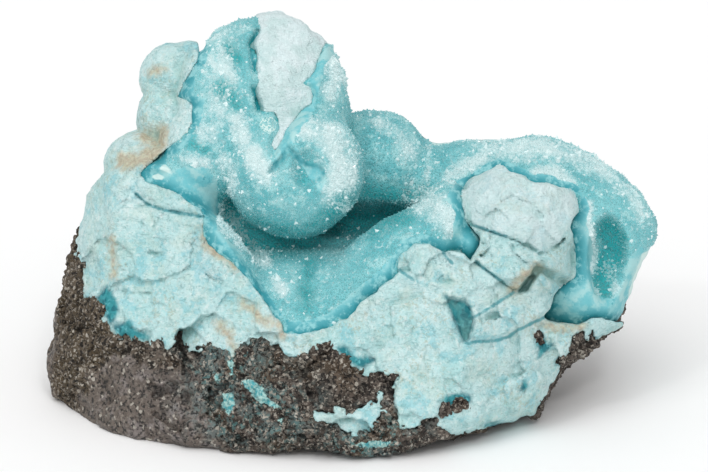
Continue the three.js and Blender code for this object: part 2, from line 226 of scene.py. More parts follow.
# Raised and sunken stretches of the broken face: outline, depth change and width of its edge.
RELIEF = {
    "left facet": (
        ((-31, 14), (-24.5, 17), (-24.7, 19), (-25, 21), (-25.4, 22.8), (-26, 28), (-31, 28)), 0.7, 0.5,
    ),
    "rim plate": (
        ((-21.2, 26.9), (-18.5, 27), (-16, 26.3), (-15.1, 25.5), (-16.5, 25.2), (-20, 25.8)),
        -0.5, 0.25,
    ),
    "boulder trough": (((17.4, 29), (18.8, 28.6), (20.4, 26.2), (19.6, 25), (18.2, 26)), 0.5, 1.1),
    "rim ledge": (((-23, 29.5), (-14, 29.5), (-14, 24.8), (-18, 25.3), (-21.3, 26.2)), 0.5, 0.3),
    "lower left": (((-13.9, 13.5), (-12.8, 12.5), (-12.2, 11.3), (-12, 8), (-4, 6), (-6, 12)), 0.4, 0.4),
    "right shoulder": (((11.8, 12), (10.2, 15.5), (9, 15), (10.5, 11.5), (11.5, 8), (12.2, 8)), -0.4, 0.6),
    "teal wedge": (
        ((9.7, 16.6), (11.2, 16), (12, 16), (12.6, 14.6), (12.7, 13.6), (12.2, 12), (11.8, 11.6),
         (10.7, 14)), 0.8, 0.4,
    ),
    "lower block": (
        ((12.3, 12), (15.3, 12), (17.3, 13), (20.2, 14.5), (21.5, 17), (19.8, 18.7), (18.6, 17.1),
         (17, 16.6), (13, 14.4)), -0.7, 0.35,
    ),
    "middle block": (
        ((13, 20), (14, 19.2), (17, 17.1), (17.6, 17.2), (19.2, 19.6), (17, 20.9), (16.8, 21.6),
         (14.5, 22.8), (13.2, 22.9)), -0.5, 0.3,
    ),
    "right chip": (((19.4, 20.2), (21, 19.4), (23, 18.4), (23.2, 20.5), (22.3, 22.2)), -0.9, 0.3),
    "overhang": (
        ((19.2, 19.7), (18.8, 19), (17.7, 17.4), (17.5, 16.8), (18.4, 17), (19.2, 18.2), (19.8, 18.8),
         (21, 18), (21.8, 17.3), (22.7, 18), (21, 19), (20, 19.5)), 2.2, 0.3,
    ),
    "crumbly ledge": (
        ((5.4, 19), (7.5, 21.6), (9.4, 20.9), (10.4, 19.6), (12.4, 17.6), (8, 17.5)), 0.5, 0.4,
    ),
}
# Cracks in the broken face: points along each, depth and width.
CRACKS = {
    "under plate": (
        ((-22.5, 27), (-21.3, 26), (-20, 25.5), (-18, 25.1), (-16.5, 24.8), (-14.8, 24.6)), 0.6, 0.3,
    ),
    "left short": (((-21, 21), (-20, 20.8), (-19, 20.8)), 0.6, 0.2),
    "left low": (((-15.2, 18.8), (-14.6, 18.3), (-13.8, 17.8)), 0.6, 0.2),
    "left foot": (((-24, 17), (-22.5, 16.6), (-21, 16.7)), 0.5, 0.2),
    "under boulder": (
        ((11.8, 24.6), (12.9, 23.6), (14, 23.3), (15.2, 22.9), (17.5, 22.1), (18.4, 21.7), (19.6, 20.9),
         (20.3, 20.7), (20.9, 21.2), (22.3, 22.4)), 0.7, 0.28,
    ),
    "block left": (((13, 20), (14, 19.2), (15, 18.5), (16, 17.7), (17, 17.1)), 0.6, 0.22),
    "block middle": (((16.8, 21.6), (17, 20.9), (17.6, 20.4), (18, 19.9), (19.1, 19.7)), 0.8, 0.22),
    "block right": (((22.3, 22.4), (21.3, 21.2), (19.9, 20.1)), 0.6, 0.22),
    "glassy ripple": (((-24, 1.7), (-22.5, 2.1), (-21, 3), (-20.2, 2.6)), 0.35, 0.6),
    "glassy step": (((-23.6, 1), (-22, 1.3), (-20.6, 2)), 0.3, 0.4),
}
# Small hollows in the broken face: place (x, z), depth and radius.
DIMPLES = (((14.7, 20.5), 0.8, 0.35), ((13.9, 21.8), 0.9, 0.5), ((20.9, 24.9), 0.2, 0.2))

# Places where the crust itself is chipped: a crescent and short grooves.
CRESCENT = (
    (-6, 31.6), (-5.3, 30.2), (-4.8, 29.3), (-4, 28.3), (-3.2, 27.5), (-2.7, 28.2), (-2.5, 29),
    (-2.7, 30), (-4, 29.8), (-5, 30.3), (-5.8, 31),
)
CRESCENT_DEPTH = 0.5
CRESCENT_EDGE = 0.4
GROOVE_DEPTH = 0.8
GROOVE_HALF = 0.12
CRUST_GROOVES = (
    ((-8.4, 29.3), (-7.6, 30.3), (-7, 31), (-6.8, 31.6)),
    ((-6.6, 31.9), (-5.9, 31.1), (-5.1, 30.3), (-4.2, 30), (-3.3, 30), (-2.9, 29.2), (-3.3, 28.5)),
    ((-9.8, 44.2), (-10.5, 42.6), (-10.3, 41.4), (-10, 40)),
    ((-10.2, 38), (-9.6, 36)),
)

# Host rock away from its main area, and pale stone within it.
HOST_PATCHES = (
    ((21.6, 9.4), (22.3, 10.5), (23, 11.3), (23.4, 12), (24.2, 12.5), (24.8, 12), (25.3, 12.7),
     (25.8, 12.1), (27.4, 12.3), (28.5, 12.6), (26, 10), (22.5, 8)),
    ((19.3, 12.6), (19.9, 12.4), (20.1, 11.6), (19.6, 11.8)),
    ((20.2, 5.3), (21.4, 7.6), (22, 7.4), (20.8, 5)),
)
PALE_INLIER = (
    (-3.9, 4.6), (-2.7, 4.4), (0, 4.7), (1, 4.7), (1.9, 5.5), (2.7, 6.3), (3.3, 6.5), (3.5, 5.5),
    (4, 5), (4, 4.4), (3.2, 4.3), (2.8, 3.4), (2.2, 2.4), (0, 2.1), (-1, 2.2), (-2, 2.9), (-3.9, 3.7),
)

# Deep teal areas on the chrysocolla, and pale streaks in the host rock.
TEAL_AREAS = (
    ((9.7, 16.6), (10.3, 16.3), (11.2, 16), (12, 16), (12.5, 15.4), (12.6, 14.6), (12.7, 13.6),
     (12.2, 12), (11.8, 11.6), (11.2, 12.8), (10.7, 14), (10.2, 15.2)),
    ((-26.8, 16.3), (-26, 17.2), (-25.5, 17.5), (-25, 16.8), (-24.2, 15), (-24.5, 14.2),
     (-25.2, 13.4), (-26.2, 15)),
    ((-25, 13.3), (-24, 13.5), (-23.3, 13.9), (-22.4, 12.8), (-21.5, 12.6), (-21, 11.9),
     (-22.6, 11.7), (-24.4, 12.1)),
    ((-1.8, 11.2), (-0.6, 11.3), (0, 10.3), (2.8, 9.9), (1.2, 8.9), (-0.3, 9.5)),
    ((9, 5.5), (10.5, 6.4), (12.5, 6.2), (12.6, 5.3), (10, 5)),
    ((19.2, 11.8), (19.6, 10), (20.8, 10.7), (21.1, 11.5), (20.3, 11.7)),
    ((17.6, 6.8), (18.2, 7.6), (18.6, 6.9), (18, 6.4)),
    ((13.5, 2.9), (15, 3.3), (16, 3.1), (15, 2.6)),
)
TEAL_VEINS = (
    ((12, 11.5), (13.3, 11.7), (15.3, 11.8), (16.5, 12.2), (17.3, 12.8), (18.5, 13.4), (20.4, 14.3)),
    ((17, 16.8), (15.5, 15.9), (14.5, 15.2), (12.7, 14.2)),
    ((5, 19.2), (5.8, 18.6), (6.6, 18)),
    ((9.6, 21), (10, 20.4), (10.6, 19.8)),
    ((13, 20), (14, 19.2), (15, 18.5), (16, 17.7)),
    ((12.1, 24), (14, 23.4), (16.2, 22.6)),
    ((-22.6, 27.2), (-21.3, 26), (-20, 25.5), (-18, 25.1), (-15.5, 24.7)),
)
VEIN_WIDTH = 0.16
STAIN_LINES = (
    (((-15.4, 23.4), (-15, 21.8), (-13.6, 20.6), (-12, 19.6)), 0.5),
    (((-13.9, 13.5), (-12.8, 12.5), (-12.2, 11.3), (-12.1, 9.8)), 0.35),
    (((-11.3, 15.7), (-10.3, 15), (-9, 13.8), (-7.5, 13.5)), 0.4),
    (((-6.9, 13.3), (-7.2, 12.2)), 0.4),
    (((19.8, 13.4), (22, 13), (24, 13.2)), 0.35),
    (((-25.2, 22.5), (-24.9, 20), (-24.8, 18.6)), 0.3),
    (((-24, 30.6), (-22, 30.6), (-20.5, 31.6), (-20, 33.5), (-21.6, 33)), 0.9),
    (((-21, 39.8), (-19.8, 40.3)), 0.35),
    (((16.9, 17.2), (18.2, 18.6), (19.5, 19.4)), 0.5),
)
HOST_STREAKS = (
    ((-11.3, 7.6), (-10.3, 7.8), (-9.3, 7), (-8.8, 6), (-7.2, 4.7), (-8.5, 5), (-9.8, 5.6), (-11.3, 7.2)),
    ((-13.5, 5), (-13.2, 6.2), (-12.2, 6.4), (-12.1, 5), (-12.7, 4)),
    ((-12.9, 9.6), (-12.4, 10), (-12.1, 8.3), (-12.5, 8.2)),
    ((-14.3, 8.2), (-13.9, 8.4), (-13.7, 7.6), (-14, 7.4)),
    ((0, 0.8), (2, 1.4), (4.2, 1.3), (4, 0.8), (2, 0.6)),
    ((-7.6, 3.7), (-7.1, 3.7), (-7.3, 3.2)),
)
# Smooth areas of the crust, where no crystals stand.
SMOOTH_AREAS = (
    ((24.1, 26.4), (22.6, 23.2), (23.4, 20.5), (23.3, 18.8), (21.3, 17.3), (19.8, 14.2), (21.5, 13.3),
     (24.5, 13.3), (28, 13.2), (29.4, 14.8), (28.8, 16.5), (27.5, 15.4), (25.3, 15.6), (24.9, 18),
     (24.9, 20), (24.3, 23), (24.6, 25.8)),
    ((-23.5, 29.6), (-21, 27.6), (-19.4, 27.2), (-15.6, 25), (-14.2, 26), (-14.2, 28.5),
     (-15, 29.2), (-19.5, 28.6), (-21, 29.8)),
    ((-2.3, 43.2), (-1.5, 42), (-2.6, 40.5), (-3.2, 39), (-3.5, 37.5), (-3.7, 36), (-4.5, 35),
     (-5.3, 34.2), (-5.8, 33.2), (-6.5, 32), (-7, 31), (-7.6, 30.3), (-8.3, 29.4), (-8, 31.4),
     (-7.3, 33.5), (-5.8, 35.3), (-4.2, 37), (-4.6, 38.8), (-3.6, 40.5), (-3.4, 42)),
    CRESCENT,
)
# Small pale flakes that lie on the crust.
PALE_PLATES = (
    ((-20.2, 29.7), (-19.6, 30.2), (-19.1, 29.9), (-18.6, 29.1), (-19.4, 29.4)),
    ((-20.9, 28.9), (-20.2, 29.2), (-19.5, 28.9), (-19.8, 28.5), (-20.6, 28.6)),
    ((-21.7, 28), (-20.5, 28.1), (-19.5, 27.5), (-20.8, 27.1)),
    ((-9.6, 34.4), (-9.2, 35), (-8.3, 35.2), (-7.7, 34.4), (-8, 33.7), (-8.4, 33.3), (-9.2, 33.6)),
    ((28.4, 13.4), (29, 15), (29.2, 17), (29.9, 19), (30.6, 20.8), (31.6, 21.4), (30.4, 16)),
)
# Frosted areas, where the crystals are milky: lines, half widths and how far they fade out.
FROST_LINES = (
    (((-12.6, 23.9), (-11.4, 22.3), (-9.8, 21), (-9, 20.2)), 0.45, 0.9),
    (((-14, 25.4), (-12.7, 23.8)), 0.5, 1.6),
    (((-7.9, 18.2), (-7.2, 17)), 0.2, 0.9),
    (((7, 26.8), (9, 26), (9.8, 24.9), (10.4, 23.8)), 0.6, 1.7),
    (((8.2, 32), (8.1, 29.5), (8, 27.6)), 0.0, 0.7),
    (((10.2, 28.9), (12, 30), (14, 30.9)), 0.2, 1.0),
    (((19.6, 29.2), (21.3, 29.2), (22.8, 28.2)), 0.6, 0.7),
    (((24.8, 26), (24.7, 24), (25.5, 21), (25.3, 19)), 0.3, 0.6),
    (((25, 17.2), (26, 16)), 0.4, 0.7),
    (((26.9, 19.2), (27.6, 17.2)), 0.3, 0.9),
    (((27.7, 15.8), (28, 14.8)), 0.2, 0.6),
    (((-2, 40.8), (-1.6, 39), (-2.2, 37.4)), 0.3, 1.5),
    (((-5.2, 33.9), (-3.6, 33.2)), 0.3, 1.4),
    (((-2.4, 33.4), (-1.4, 31.6), (-1, 29.4), (-1.6, 27.8)), 0.7, 1.9),
    (((-2.4, 26.4), (-1, 25.8)), 0.2, 1.2),
    (((-12, 35), (-11.4, 33), (-10.4, 32)), 0.3, 1.3),
    (((-10.6, 31.6), (-9.6, 30), (-8.8, 28.8)), 0.5, 1.3),
    (((-17.4, 30.6), (-15.4, 30.4)), 0.3, 1.2),
    (((-14, 40.2), (-12.6, 39.6)), 0.1, 1.0),
    (((-14.8, 41.4), (-14.2, 40.6)), 0.1, 0.8),
    (((-12.6, 27.5), (-13, 30.5)), 0.1, 1.2),
    (((-13.5, 43), (-13, 38), (-14, 34)), -0.6, 3.6),
    (((14, 31.8), (20, 32), (26, 30), (30, 26)), -0.5, 3.0),
    (((3, 34.5), (6, 32)), -0.5, 2.6),
)
# Painted shade on the druse, in its recesses, chute and hollows: lines, half widths and how far they fade
# out.
SHADE_LINES = (
    (((26.9, 23.4), (27.9, 22.2), (27.6, 20.8), (26.7, 19), (26.3, 17.2)), 0.9, 0.8),
    (((-13.6, 38.2), (-12, 36.6)), 0.3, 1.3),
    (((-16.6, 32.4), (-15.2, 31.6)), 0.1, 1.0),
    (((-12.9, 42.5), (-12, 41.2)), 0.0, 1.1),
    (((-10.6, 24.4), (-8, 23.1), (-5, 23.4), (-2, 24.8), (-0.3, 26.6)), 0.1, 1.7),
    (((-9.4, 22.2), (-5, 22), (-1, 24), (2, 24.4), (5, 25.2)), 0.8, 2.0),
    (((1.6, 27), (4.5, 26.8), (7.4, 27)), 0.1, 2.2),
    (((-4.6, 20.5), (-4.6, 17), (-4.6, 15.2)), -0.4, 2.0),
)
# Smooth pale planes on the block.
BOULDER = (
    (11.6, 27.2), (12.2, 28.3), (14.2, 29.5), (15.5, 30.1), (17.2, 29.3), (18.5, 28.4),
    (20.5, 28.2), (23.2, 27.2), (23.9, 25.6), (22.8, 23.5), (20.9, 21.2), (19.6, 20.9),
    (17.5, 22.1), (15.2, 22.9), (12.9, 23.6), (12, 25.4),
)
# Smoother, glassier ground in the host rock.
GLASSY_PATCHES = (
    ((-27.5, 9), (-24, 9.8), (-20, 8.6), (-16.5, 7.6), (-14, 4), (-13, -1), (-29, -1), (-28.6, 4)),
    ((-33.5, 13), (-31.4, 15.5), (-30.6, 12), (-31, 8), (-30.4, 5), (-33.5, 5)),
)


# Grid and fields.
def grid_line(axis):
    return np.arange(LOW[axis], HIGH[axis] + CELL / 2, CELL, dtype=np.float32)


X, Y, Z = (grid_line(axis) for axis in range(3))
GX = X[:, None, None]
GY = Y[None, :, None]
GZ = Z[None, None, :]


def smooth_min(a, b, blend):
    share = np.clip(0.5 + 0.5 * (b - a) / blend, 0, 1)
    return b + (a - b) * share - blend * share * (1 - share)


def smooth_max(a, b, blend):
    return -smooth_min(-a, -b, blend)


def ramp(values, start, end):
    """0 before start and 1 past end, with a smooth step between them."""
    share = np.clip((values - start) / (end - start), 0, 1)
    return share * share * (3 - 2 * share)


def ellipsoid(at, size, turn, deep_at=None):
    """Roughly the distance to an ellipsoid, negative inside, on the whole grid."""
    cosine = math.cos(math.radians(turn))
    sine = math.sin(math.radians(turn))
    along = (GX - at[0]) * cosine + (GZ - at[2]) * sine
    across = (GZ - at[2]) * cosine - (GX - at[0]) * sine
    deep_from = (GY if deep_at is None else deep_at) - at[1]
    flat = (along / size[0]) ** 2 + (across / size[2]) ** 2
    steep = (along / size[0] ** 2) ** 2 + (across / size[2] ** 2) ** 2
    near = np.sqrt(flat + (deep_from / size[1]) ** 2)
    slope = np.sqrt(steep + (deep_from / size[1] ** 2) ** 2) + 1e-6
    return (near * (near - 1) / slope).astype(np.float32)


def merged(group, blend, deep_at=None):
    field = None
    for at, size, turn in group.values():
        one = ellipsoid(at, size, turn, deep_at)
        field = one if field is None else smooth_min(field, one, blend)
    return field


def line_distance(points, closed=False):
    """Distance from each place of the face grid to a line of points."""
    px = X[:, None]
    pz = Z[None, :]
    best = np.full((len(X), len(Z)), 1e9, dtype=np.float32)
    ends = list(points[1:]) + ([points[0]] if closed else [])
    for (x0, z0), (x1, z1) in zip(points, ends):
        run, rise = x1 - x0, z1 - z0
        share = ((px - x0) * run + (pz - z0) * rise) / (run * run + rise * rise)
        share = np.clip(share, 0, 1)
        gap = np.hypot(px - x0 - share * run, pz - z0 - share * rise)
        best = np.minimum(best, gap)
    return best


def outline_distance(points):
    """Signed distance to a closed outline on the face grid, negative inside."""
    px = X[:, None]
    pz = Z[None, :]
    inside = np.zeros((len(X), len(Z)), dtype=bool)
    for (x0, z0), (x1, z1) in zip(points, list(points[1:]) + [points[0]]):
        if z0 == z1:
            continue
        spans = (pz < z0) != (pz < z1)
        crossing = x0 + (pz - z0) * (x1 - x0) / (z1 - z0)
        inside ^= spans & (px < crossing)
    distance = line_distance(points, True)
    return np.where(inside, -distance, distance).astype(np.float32)


def nearest_outline(outlines):
    """Signed distance to the nearest of several closed outlines."""
    return np.minimum.reduce([outline_distance(outline) for outline in outlines])


def nearest_line(lines):
    """Distance to the nearest of several lines, less the half width of each."""
    return np.minimum.reduce([line_distance(points) - half for points, half in lines])


def nearest_fade(lines):
    """Distance past the half width of the nearest of several lines, as a share of its fade."""
    return np.minimum.reduce([(line_distance(points) - half) / fade for points, half, fade in lines])


# Noise: smooth values on a repeating lattice, from -1 to 1.
LATTICE = 32
lattice_values = np.random.default_rng(SEED).uniform(-1, 1, (LATTICE,) * 3).astype(np.float32)


def noise(points, size, shift=0.0):
    """Value noise with features of a size, at points of shape (n, 3)."""
    place = points / size + shift
    base = np.floor(place).astype(np.int64)
    part = place - base
    part = part * part * (3 - 2 * part)
    total = 0
    for dx in (0, 1):
        for dy in (0, 1):
            for dz in (0, 1):
                corner = lattice_values[
                    (base[:, 0] + dx) % LATTICE,
                    (base[:, 1] + dy) % LATTICE,
                    (base[:, 2] + dz) % LATTICE,
                ]
                weight = np.abs(1 - dx - part[:, 0]) * np.abs(1 - dy - part[:, 1])
                total = total + corner * weight * np.abs(1 - dz - part[:, 2])
    return total


def layered(points, size, layers, shift=0.0, fade=0.5):
    """Several layers of noise, each of half the size and less height."""
    total = 0
    height = 1.0
    for layer in range(layers):
        total = total + height * noise(points, size / 2**layer, shift + 7.3 * layer)
        height *= fade
    return total


# Whole numbers that scatter others, so that cells differ without any random draw.
CELL_PRIMES = np.array([73856093, 19349663, 83492791])
SEED_PRIME = 7919
JITTER_PRIME = 2654435761


def scattered(numbers, factor, shift, size):
    """A share from 0 to 1 for each whole number, in no visible order."""
    return ((numbers * factor) >> shift) % size / size


def cell_seeds(points, size, seed):
    """For each point, the offset to the nearest seed of a jittered grid, and that seed's number."""
    cell = np.floor(points / size).astype(np.int64)
    best = np.full(len(points), 1e9)
    offset = np.zeros_like(points)
    owner = np.zeros(len(points), dtype=np.int64)
    axes = points.shape[1]
    for step in np.ndindex(*(3,) * axes):
        here = cell + np.array(step) - 1
        number = (here * CELL_PRIMES[:axes]).sum(axis=1) + seed * SEED_PRIME
        shares = [scattered(number, (n + 3) * JITTER_PRIME, 7, 1009) for n in range(axes)]
        jitter = np.stack(shares, axis=1)
        away = points - (here + jitter) * size
        gap = (away**2).sum(axis=1)
        nearer = gap < best
        best[nearer] = gap[nearer]
        offset[nearer] = away[nearer]
        owner[nearer] = number[nearer]
    return offset, owner, np.sqrt(best)


def face_points():
    px, pz = np.meshgrid(X, Z, indexing="ij")
    return np.stack([px.ravel(), np.zeros(px.size), pz.ravel()], axis=1)


def face_noise(size, layers, shift=0.0, fade=0.5):
    """Layered noise over the face grid."""
    values = layered(face_points(), size, layers, shift, fade)
    return values.reshape(len(X), len(Z)).astype(np.float32)


def face_facets(size, tilt, seed):
    """Depth of flat chips over the face grid: each chip leans its own way."""
    flat = face_points()[:, [0, 2]]
    warp = np.stack([noise(face_points(), size / 2, seed + n) for n in (0.3, 0.8)], axis=1)
    offset, owner, _ = cell_seeds(flat + warp * size * 0.2, size, seed)
    lean_x = scattered(owner, 40503, 5, 997) - 0.5
    lean_z = scattered(owner, 30011, 4, 991) - 0.5
    depth = tilt * (offset[:, 0] * lean_x + offset[:, 1] * lean_z) * 2
    return depth.reshape(len(X), len(Z)).astype(np.float32)


def break_depth(breaks, side):
    """Depth of the broken face over the face grid: side is -1 in front and 1 behind."""
    depth = None
    for (x, z), at, (slope_x, slope_z) in breaks:
        one = at + slope_x * (X[:, None] - x) + slope_z * (Z[None, :] - z)
        if depth is None:
            depth = one
        elif side < 0:
            depth = smooth_max(depth, one, BREAK_BLEND)
        else:
            depth = smooth_min(depth, one, BREAK_BLEND)
    return depth.astype(np.float32)


# From a field to a mesh.
CORNERS = np.array([(i, j, k) for i in (0, 1) for j in (0, 1) for k in (0, 1)])
CUBE_EDGES = [
    (a, b) for a in range(8) for b in range(a + 1, 8) if np.abs(CORNERS[a] - CORNERS[b]).sum() == 1
]


def surface(field):
    """Vertices (in millimetres) and quads of the surface where a field crosses zero."""
    field = field.copy()
    for side in (0, -1):
        field[side] = 1
        field[:, side] = 1
        field[:, :, side] = 1
    inside = field < 0
    count = np.zeros([n - 1 for n in field.shape], dtype=np.int8)
    for i, j, k in CORNERS:
        count += inside[i : i + count.shape[0], j : j + count.shape[1], k : k + count.shape[2]]
    cells = np.argwhere((count > 0) & (count < 8))
    values = np.stack([field[tuple((cells + corner).T)] for corner in CORNERS], axis=1)
    total = np.zeros((len(cells), 3))
    crossings = np.zeros(len(cells))
    for a, b in CUBE_EDGES:
        crossed = (values[:, a] < 0) != (values[:, b] < 0)
        share = values[crossed, a] / (values[crossed, a] - values[crossed, b])
        step = CORNERS[b] - CORNERS[a]
        total[crossed] += CORNERS[a] + share[:, None] * step
        crossings[crossed] += 1
    vertices = np.array(LOW) + CELL * (cells + total / crossings[:, None])
    index = np.full(count.shape, -1, dtype=np.int32)
    index[tuple(cells.T)] = np.arange(len(cells))
    return vertices, np.concatenate([quads_across(inside, index, axis) for axis in range(3)])


def quads_across(inside, index, axis):
    """One quad round each grid edge along an axis that the surface crosses."""
    low = [slice(None)] * 3
    high = [slice(None)] * 3
    low[axis] = slice(0, -1)
    high[axis] = slice(1, None)
    first = inside[tuple(low)]
    edges = np.argwhere(first != inside[tuple(high)])
    leaving = first[tuple(edges.T)]
    one = np.zeros(3, dtype=int)
    other = np.zeros(3, dtype=int)
    one[(axis + 1) % 3] = 1
    other[(axis + 2) % 3] = 1
    ring = [edges - one - other, edges - other, edges, edges - one]
    quads = np.stack([index[tuple(corner.T)] for corner in ring], axis=1)
    quads[~leaving] = quads[~leaving][:, ::-1]
    return quads


def without_crumbs(vertices, quads):
    """Drops the small parts of a mesh that hang on nothing."""
    label = np.arange(len(vertices))
    while True:
        lowest = label[quads].min(axis=1)
        merged_label = label.copy()
        for n in range(4):
            np.minimum.at(merged_label, quads[:, n], lowest)
        merged_label = merged_label[merged_label]
        if np.array_equal(merged_label, label):
            break
        label = merged_label
    keep = np.bincount(label)[label] > CRUMB_VERTICES
    number = np.cumsum(keep) - 1
    return vertices[keep], number[quads[keep[quads[:, 0]]]]


def vertex_normals(vertices, quads):
    a, b, c, d = (vertices[quads[:, n]] for n in range(4))
    across = np.cross(c - a, d - b)
    normals = np.zeros_like(vertices)
    for n in range(4):
        for axis in range(3):
            normals[:, axis] += np.bincount(quads[:, n], across[:, axis], len(vertices))
    return normals / (np.linalg.norm(normals, axis=1)[:, None] + 1e-12)


def sampled(field, vertices):
    """A face-grid field read at vertices, by blending the four nearest places."""
    gx = (vertices[:, 0] - LOW[0]) / CELL
    gz = (vertices[:, 2] - LOW[2]) / CELL
    i = np.clip(gx.astype(int), 0, len(X) - 2)
    k = np.clip(gz.astype(int), 0, len(Z) - 2)
    u = gx - i
    v = gz - k
    near = field[i, k] * (1 - u) + field[i + 1, k] * u
    far = field[i, k + 1] * (1 - u) + field[i + 1, k + 1] * u
    return near * (1 - v) + far * v


def sampled_deep(field, vertices):
    """A grid field read at vertices, from the nearest grid point."""
    i, j, k = (
        np.clip(np.rint((vertices[:, n] - LOW[n]) / CELL).astype(int), 0, field.shape[n] - 1)
        for n in range(3)
    )
    return field[i, j, k]


def box_blur(field, reach):
    """Mean over a cube that reaches some cells each way."""
    for axis in range(3):
        padding = [(0, 0)] * 3
        padding[axis] = (reach + 1, reach)
        total = np.cumsum(np.pad(field, padding, mode="edge"), axis=axis, dtype=np.float32)
        count = field.shape[axis]
        high = np.take(total, np.arange(2 * reach + 1, 2 * reach + 1 + count), axis=axis)
        low = np.take(total, np.arange(count), axis=axis)
        field = (high - low) / (2 * reach + 1)
    return field


def cube_keys(points, size):
    """One whole number for each point, the same for all points in one cube of a size."""
    cube = np.floor(points / size).astype(np.int64)
    return (cube[:, 0] * KEY_SPAN + cube[:, 1]) * KEY_SPAN + cube[:, 2]


def coarsened(vertices, quads, hidden, size):
    """Merges the hidden vertices that share a cube of a size."""
    own_key = -1 - np.arange(len(vertices)) - KEY_SPAN**3
    key = np.where(hidden, cube_keys(vertices, size), own_key)
    _, owner = np.unique(key, return_inverse=True)
    count = np.bincount(owner)
    merged_vertices = np.stack(
        [np.bincount(owner, vertices[:, axis]) / count for axis in range(3)], axis=1
    )
    return merged_vertices, owner[quads]


def triangles_of(quads):
    """Splits quads in triangles and drops those with two corners in one place."""
    faces = np.concatenate([quads[:, [0, 1, 2]], quads[:, [0, 2, 3]]])
    a, b, c = faces.T
    faces = faces[(a != b) & (b != c) & (a != c)]
    ordered = np.sort(faces, axis=1)
    _, first, repeats = np.unique(ordered, axis=0, return_index=True, return_counts=True)
    return faces[first[repeats == 1]]


# From the face frame in millimetres to the part's frame in metres.
LEAN_BACK = np.array(Matrix.Rotation(-LEAN, 3, "X"))


def in_part_frame(vertices):
    turned = vertices @ LEAN_BACK.T
    turned[:, 2] -= FOOT
    return turned * MM


def put_in_scene(name, data):
    made = bpy.data.objects.new(name, data)
    bpy.context.scene.collection.objects.link(made)
    return made


def make_piece(name, vertices, faces, values, smooth=True):
    """A Blender object from vertices in millimetres, faces of one size, and named values."""
    mesh = bpy.data.meshes.new(name)
    corners = faces.shape[1]
    mesh.vertices.add(len(vertices))
    mesh.vertices.foreach_set("co", in_part_frame(vertices).ravel())
    mesh.loops.add(faces.size)
    mesh.loops.foreach_set("vertex_index", faces.ravel().astype(np.int32))
    mesh.polygons.add(len(faces))
    mesh.polygons.foreach_set("loop_start", np.arange(0, faces.size, corners, dtype=np.int32))
    mesh.polygons.foreach_set("use_smooth", np.full(len(faces), smooth))
    for key, numbers in values.items():
        layer = mesh.attributes.new(key, "FLOAT", "POINT")
        layer.data.foreach_set("value", np.asarray(numbers, dtype=np.float32))
    mesh.update(calc_edges=True)
    mesh.validate()
    return put_in_scene(name, mesh)


# The specimen's face-on maps.
silhouette = outline_distance(SILHOUETTE) + 0.3 * face_noise(2.4, 4, 6.6, 0.6)
edge_wander = 0.2 * face_noise(1.3, 3, 3.1, 0.6)
crust_edge = outline_distance(CRUST_EDGE) + edge_wander
bowl = outline_distance(BOWL) + edge_wander
cap_edge = outline_distance(CAP_OUTLINE) + edge_wander
host_edge = outline_distance(HOST_TOP + ((36, -20), (-36, -20)))
host_edge = np.minimum(host_edge, nearest_outline(HOST_PATCHES))
host_edge = np.maximum(host_edge, -outline_distance(PALE_INLIER))
host_edge += 0.5 * face_noise(0.9, 3, 9.4, 0.75) + 0.2 * face_noise(2.0, 1, 1.4)


def dent(gap, change, start, end):
    """A change of depth, full up to start and gone past end."""
    return change * (1 - ramp(gap, start, end))


def relief_depth():
    """How far the broken face stands back from its flat breaks, over the face grid."""
    depth = 0.5 * face_noise(7.0, 2, 1.7) + face_facets(4.2, 0.26, 2) + face_facets(1.7, 0.16, 5)
    depth += 0.12 * face_noise(1.2, 3, 5.5, 0.6)
    for outline, change, width in RELIEF.values():
        depth += dent(outline_distance(outline), change, -width, width)
    wander = 0.1 * face_noise(0.7, 2, 4.4)
    for points, change, width in CRACKS.values():
        depth += dent(line_distance(points) + wander, change, 0, width)
    for (x, z), change, radius in DIMPLES:
        gap = np.hypot(X[:, None] - x, Z[None, :] - z)
        depth += dent(gap, change, 0, radius)
    return depth.astype(np.float32)


relief = relief_depth()
front = break_depth(FRONT_BREAKS, -1)


def back_depth():
    """How deep the broken back lies, over the face grid."""
    depth = break_depth(BACK_BREAKS, 1) - 0.4
    return depth + 0.8 * face_noise(8.0, 4, 12.2) + face_facets(6.0, 0.3, 9) + face_facets(2.4, 0.2, 11)


back = back_depth()


def deep(field):
    return field[:, None, :]


def foot_field():
    """Negative above the resting face."""
    return (FOOT + GY * math.sin(LEAN) - GZ * math.cos(LEAN)).astype(np.float32)


def crust_relief():
    """How far the coated lobes stand back where the crust is chipped."""
    depth = dent(outline_distance(CRESCENT), CRESCENT_DEPTH, -CRESCENT_EDGE, CRESCENT_EDGE)
    wander = 0.12 * face_noise(1.0, 3, 5.1, 0.6)
    for line in CRUST_GROOVES:
        depth = np.maximum(depth, dent(line_distance(line) + wander, GROOVE_DEPTH, 0.05, 0.55))
    return depth.astype(np.float32)


def lobes_field():
    """The rounded masses under the crust: those in the walls are cut by the broken face."""
    walls = merged({name: LOBES[name] for name in WALL_LOBES}, LOBE_BLEND)
    trim = deep(front + relief + BOWL_SLOPE * np.clip(-bowl, 0, BOWL_DEEP)) - GY
    walls = smooth_max(walls, trim, 0.5)
    walls = smooth_max(walls, deep(silhouette) + 0.3 + 0 * GY, 2.0)
    in_front = 1 - ramp(GY, -2.0, 1.0)
    standing_back = GY - deep(crust_relief()) * in_front
    free = {name: lobe for name, lobe in LOBES.items() if name not in WALL_LOBES}
    free = merged(free, LOBE_BLEND, standing_back)
    lobes = smooth_min(free, walls, LOBE_BLEND)
    lobes = smooth_max(lobes, deep(silhouette) + 0.1 + 0 * GY, 0.8)
    for at, size, turn in HOLLOWS.values():
        lobes = smooth_max(lobes, -ellipsoid(at, size, turn), HOLLOW_BLEND)
    return lobes


